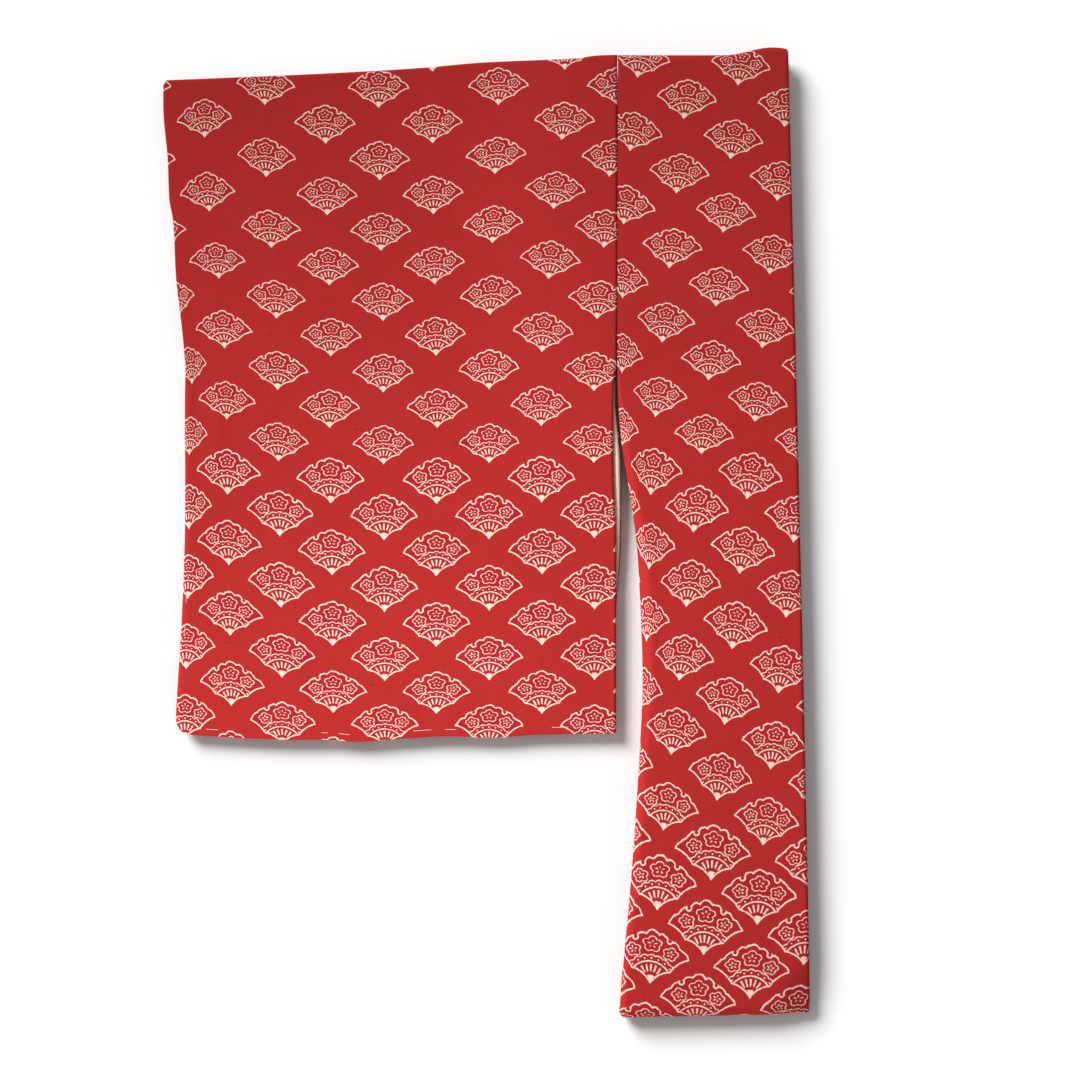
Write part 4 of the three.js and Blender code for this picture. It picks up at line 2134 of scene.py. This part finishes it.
class Material:
    """A material under way: its node tree and its Principled shader."""

    def __init__(self, name: str) -> None:
        """Start a node material.

        Args:
            name: the material's name.
        """
        self.made = bpy.data.materials.new(name)
        self.made.use_nodes = True
        self.tree = self.made.node_tree
        self.shader = self.tree.nodes["Principled BSDF"]

    def uv(self, name: str) -> Plane:
        """Return one of the piece's UV maps."""
        node = self.tree.nodes.new("ShaderNodeUVMap")
        node.uv_map = name
        return Plane(self.tree, node.outputs[0])

    def place(
        self, effect: Effect, inputs: dict[str, "Plane | Signal | float"]
    ) -> Callable[[str], Signal]:
        """Place an effect's group in the material.

        Args:
            effect: the effect.
            inputs: what goes into its inputs.

        Returns:
            A function from an output's name to its signal.
        """
        node = self.tree.nodes.new("ShaderNodeGroup")
        node.node_tree = effect.group()
        for name, value in inputs.items():
            if isinstance(value, (Plane, Signal)):
                self.tree.links.new(value.socket, node.inputs[name])
            else:
                node.inputs[name].default_value = value
        return lambda name: Signal(self.tree, node.outputs[name])

    def blend(
        self,
        share: Signal | float,
        low: "bpy.types.NodeSocket | Colour",
        high: "bpy.types.NodeSocket | Colour",
        kind: str = "MIX",
    ) -> bpy.types.NodeSocket:
        """Mix two colours.

        Args:
            share: how much of the second colour is used.
            low, high: the two colours.
            kind: how they are mixed.

        Returns:
            The mixed colour.
        """
        node = self.tree.nodes.new("ShaderNodeMix")
        node.data_type = "RGBA"
        node.blend_type = kind
        sockets = (node.inputs[0], node.inputs[6], node.inputs[7])
        for socket, value in zip(sockets, (share, low, high)):
            if isinstance(value, Signal):
                self.tree.links.new(value.socket, socket)
            elif isinstance(value, bpy.types.NodeSocket):
                self.tree.links.new(value, socket)
            else:
                socket.default_value = (*value, 1.0) if isinstance(value, tuple) else value
        return node.outputs[2]

    def tone(self, colour: "bpy.types.NodeSocket | Colour", tone: Signal) -> bpy.types.NodeSocket:
        """Make a colour lighter or darker.

        Args:
            colour: the colour.
            tone: a number near 1, which multiplies it.

        Returns:
            The toned colour.
        """
        grey = self.tree.nodes.new("ShaderNodeCombineXYZ")
        for socket in grey.inputs:
            self.tree.links.new(tone.socket, socket)
        return self.blend(1.0, colour, grey.outputs[0], "MULTIPLY")

    def coordinates(self) -> Plane:
        """Return the object coordinates."""
        node = self.tree.nodes.new("ShaderNodeTexCoord")
        return Plane(self.tree, node.outputs["Object"])

    def bump(self, height: Signal, distance: float, strength: float = 0.5) -> None:
        """Give the shader a bump.

        Args:
            height: the height, from 0 to 1.
            distance: what a height of 1 stands for, in metres.
            strength: how strongly it shows.
        """
        node = self.tree.nodes.new("ShaderNodeBump")
        node.inputs["Strength"].default_value = strength
        node.inputs["Distance"].default_value = distance
        self.tree.links.new(height.socket, node.inputs["Height"])
        self.tree.links.new(node.outputs[0], self.shader.inputs["Normal"])

    def feed(self, name: str, source: "bpy.types.NodeSocket | Signal") -> None:
        """Link a colour or signal to one of the shader's inputs."""
        socket = source.socket if isinstance(source, Signal) else source
        self.tree.links.new(socket, self.shader.inputs[name])

    def set(self, **values: float) -> None:
        """Set plain values of the shader; underscores stand for spaces."""
        for name, value in values.items():
            self.shader.inputs[name.replace("_", " ")].default_value = value


@dataclass(frozen=True)
class PrintedCloth:
    """Crimson silk crepe with the fan print.

    Attributes:
        name: the material's name.
        ground, fan_ground: the dyed cloth outside and inside the fans.
        line: the undyed lines.
        step_row, second_step_row: rows of the lattice under which the fans are wider.
        upper, middle, lower: the fans' widths over and under those rows.
        upper_flat, lower_flat: how flat the fans are over and under the first row.
        tilt, lower_tilt: how far they lean over and under the second row.
        speck: the raw fibre's colour, and speck_share how much of it shows.
        line_share: how much of the lines' colour shows.
        roughness, gloss: between the threads, and how much less there is on them.
        grain: the height of the weave in metres.
    """

    name: str
    ground: Colour = (0.253, 0.0125, 0.0115)
    fan_ground: Colour = (0.236, 0.0092, 0.0118)
    line: Colour = (0.58, 0.41, 0.335)
    step_row: float = -4.6
    second_step_row: float = -99.0
    upper: float = 0.0441
    middle: float = 0.049
    lower: float = 0.049
    upper_flat: float = 1.065
    lower_flat: float = 1.0
    tilt: float = 0.0
    lower_tilt: float = 0.0
    speck: Colour = (0.105, 0.005, 0.0065)
    speck_share: float = 0.35
    line_share: float = 0.97
    roughness: float = 0.86
    gloss: float = 0.08
    grain: float = 0.00012

    def make(self) -> bpy.types.Material:
        """Build the material.

        Returns:
            The material.
        """
        material = Material(self.name)
        fans = material.place(
            FanPrint(),
            {
                "Lattice": material.uv(UV_PRINT),
                "Pitch": material.uv(UV_PITCH),
                "Step row": self.step_row,
                "Second step row": self.second_step_row,
                "Upper width": self.upper,
                "Middle width": self.middle,
                "Lower width": self.lower,
                "Upper flatness": self.upper_flat,
                "Lower flatness": self.lower_flat,
                "Tilt": self.tilt,
                "Lower tilt": self.lower_tilt,
            },
        )
        weave = material.place(Weave(), {"Cloth": material.uv(UV_CLOTH)})
        ground = material.blend(fans("Fan"), self.ground, self.fan_ground)
        ground = material.blend(weave("Speck") * self.speck_share, ground, self.speck)
        colour = material.blend(fans("Line") * self.line_share, ground, self.line)
        material.feed("Base Color", material.tone(colour, weave("Tone")))
        material.feed("Roughness", weave("Height").scaled(-self.gloss, self.roughness))
        material.bump(weave("Height"), self.grain)
        material.set(Sheen_Weight=0.015, Sheen_Roughness=0.4, Specular_IOR_Level=0.07)
        return material.made


@dataclass(frozen=True)
class LiningCloth:
    """Thin pale silk of a plain weave."""

    name: str = "lining_silk"
    colour: Colour = (0.7, 0.54, 0.42)
    threads: float = 2200.0
    roughness: float = 0.7
    gloss: float = 0.1
    grain: float = 0.00008
    grain_strength: float = 0.4

    def make(self) -> bpy.types.Material:
        """Build the material.

        Returns:
            The material.
        """
        material = Material(self.name)
        inputs = {"Cloth": material.uv(UV_CLOTH), "Threads": self.threads}
        weave = material.place(Weave(), inputs)
        material.feed("Base Color", material.tone(self.colour, weave("Tone")))
        material.feed("Roughness", weave("Height").scaled(-self.gloss, self.roughness))
        material.bump(weave("Height"), self.grain, self.grain_strength)
        material.set(Sheen_Weight=0.1, Specular_IOR_Level=0.35)
        return material.made


@dataclass(frozen=True)
class Thread:
    """Soft pale cotton, twisted from two plies."""

    name: str = "basting_cotton"
    colour: Colour = (0.64, 0.41, 0.36)
    twist: float = 5200.0
    fibres: float = 3000.0
    darkest: float = 0.9
    ply_tone: float = 0.08
    fibre_tone: float = 0.12
    roughness: float = 0.8
    fibre_roughness: float = 0.1
    grain: float = 0.00006

    def make(self) -> bpy.types.Material:
        """Build the material.

        Returns:
            The material.
        """
        material = Material(self.name)
        place = material.coordinates()
        x, y = place.split()
        ply = ((x + y) * self.twist).sine()
        fibre = place.noise(self.fibres, detail=1.0)
        tone = ply.scaled(self.ply_tone, self.darkest) + fibre * self.fibre_tone
        material.feed("Base Color", material.tone(self.colour, tone))
        material.feed("Roughness", fibre.scaled(self.fibre_roughness, self.roughness))
        material.bump(ply, self.grain)
        return material.made


@dataclass(frozen=True)
class FloorFinish:
    """Matt white board."""

    name: str = "floor_board"
    colour: Colour = (0.965, 0.965, 0.965)
    grain_scale: float = 300.0
    grain_tone: float = 0.01

    def make(self) -> bpy.types.Material:
        """Build the material.

        Returns:
            The material.
        """
        material = Material(self.name)
        grain = material.coordinates().noise(self.grain_scale, detail=2.0)
        tone = grain.scaled(self.grain_tone, 1 - self.grain_tone / 2)
        material.feed("Base Color", material.tone(self.colour, tone))
        material.set(Roughness=0.95, Specular_IOR_Level=0.1)
        return material.made


# ---- The garment and its stage -------------------------------------------------------


BODY_CLOTH = PrintedCloth(
    "printed_cloth_body",
    step_row=-4.3,
    second_step_row=-9.3,
    upper=0.0438,
    middle=0.0474,
    lower=0.0552,
    upper_flat=1.02,
    lower_flat=0.935,
    tilt=0.05,
    lower_tilt=-0.04,
)


@dataclass
class Kimono:
    """The folded garment: builds and dresses each piece."""

    pile: Pile
    form: SleeveForm

    def build(self) -> list[bpy.types.Object]:
        """Make every piece.

        Returns:
            The new objects.
        """
        sleeve_cloth, lining = PrintedCloth("printed_cloth_sleeve"), LiningCloth()
        printed_body, printed_sleeve = BODY_CLOTH.make(), sleeve_cloth.make()
        pale, thread = lining.make(), Thread().make()
        sleeve, inner = ShownSleeve(self.form), SleeveLining(self.form)
        hidden = HiddenSleeve(self.form)
        panel, layers = BodyPanel(self.pile), FoldedLayers(self.pile)
        near = sleeve.dressed(printed_sleeve)
        under = inner.dressed(pale)
        below = hidden.dressed(printed_sleeve)
        front = panel.dressed(printed_body)
        core = layers.dressed(printed_body)
        sleeve.declare(near, under, below)
        inner.declare(under, near)
        hidden.declare(below)
        panel.declare(front, core)
        layers.declare(core)
        return [near, under, below, front, core, *Basting(self.form).dressed(thread)]


@dataclass
class Studio:
    """A white floor, soft light from the upper left, and a camera straight above."""

    floor_size: float = 20.0
    floor_drop: float = 0.3
    sun_strength: float = 4.15
    light_elevation: float = 34.0
    sun_azimuth: float = 130.0
    sun_softness: float = 28.0
    pool_azimuth: float = 218.0
    pool_power: float = 1340.0
    pool_distance: float = 2.6
    pool_radius: float = 0.36
    pool_middle: Spot = (-0.165, -0.2, 0.0)
    pool_cone: float = 20.0
    sky: float = 0.325
    sun_distance: float = 3.0
    camera_place: Spot = (0.0387, -0.005, 2.211)
    lens: float = 100.0
    sensor: float = 36.0

    def build(self) -> None:
        """Make the stage, the lights and the camera."""
        self._floor()
        self._lights()
        self._camera()
        bpy.context.scene.view_settings.view_transform = "Standard"

    def _floor(self) -> None:
        """Make the floor just under the garment."""
        bm = bmesh.new()
        bmesh.ops.create_grid(bm, x_segments=1, y_segments=1, size=self.floor_size / 2)
        bmesh.ops.translate(bm, verts=bm.verts, vec=(0, 0, -self.floor_drop * MM))
        floor = link_mesh("floor", bm, False)
        floor.data.materials.append(FloorFinish().make())

    def _toward(self, azimuth: float) -> Vector:
        """Work out the direction to a light.

        Args:
            azimuth: where it stands, in degrees from +X.

        Returns:
            The direction, of length 1.
        """
        turn, elevation = math.radians(azimuth), math.radians(self.light_elevation)
        level = math.cos(elevation)
        return Vector((level * math.cos(turn), level * math.sin(turn), math.sin(elevation)))

    def _lights(self) -> None:
        """Make the soft sun and an even sky."""
        sun = bpy.data.lights.new("key", "SUN")
        sun.energy = self.sun_strength
        sun.angle = math.radians(self.sun_softness)
        place = self._toward(self.sun_azimuth) * self.sun_distance
        self._aim(bpy.data.objects.new("key", sun), place, Vector())
        world = bpy.data.worlds.new("sky")
        world.use_nodes = True
        background = world.node_tree.nodes["Background"]
        background.inputs[0].default_value = (1.0, 1.0, 1.0, 1.0)
        background.inputs[1].default_value = self.sky
        bpy.context.scene.world = world

    def light_garment(self, pieces: Iterable[bpy.types.Object]) -> None:
        """Add a soft pool of light that falls on the garment alone.

        Args:
            pieces: the garment's pieces.
        """
        garment = bpy.data.collections.new("garment")
        for piece in pieces:
            garment.objects.link(piece)
        pool = bpy.data.lights.new("pool", "SPOT")
        pool.energy = self.pool_power
        pool.shadow_soft_size = self.pool_radius
        pool.spot_size = math.radians(self.pool_cone)
        pool.spot_blend = 1.0
        middle = Vector(self.pool_middle)
        lamp = bpy.data.objects.new("pool", pool)
        lamp.scale = (1.0, math.sin(math.radians(self.light_elevation)), 1.0)
        lamp.light_linking.receiver_collection = garment
        self._aim(lamp, middle + self._toward(self.pool_azimuth) * self.pool_distance, middle)

    @staticmethod
    def _aim(light: bpy.types.Object, place: Vector, target: Vector) -> None:
        """Link a light, put it in its place and turn it to its target.

        Args:
            light: the light's object.
            place: where it stands.
            target: what it shines on.
        """
        light.location = place
        light.rotation_euler = (target - place).to_track_quat("-Z", "Y").to_euler()
        bpy.context.collection.objects.link(light)

    def _camera(self) -> None:
        """Make the camera, which looks straight down."""
        data = bpy.data.cameras.new("camera")
        data.sensor_width = self.sensor
        data.lens = self.lens
        camera = bpy.data.objects.new("camera", data)
        camera.location = self.camera_place
        bpy.context.collection.objects.link(camera)
        bpy.context.scene.camera = camera


def main() -> None:
    """Build the stage and the garment, and report each piece."""
    logging.basicConfig(level=logging.INFO, format="%(name)s: %(message)s")
    studio = Studio()
    studio.build()
    pile = Pile()
    pieces = Kimono(pile, SleeveForm(pile)).build()
    for piece in pieces:
        LOG.info("%s: %d faces", piece.name, len(piece.data.polygons))
    studio.light_garment(pieces)


if __name__ == "__main__":
    main()
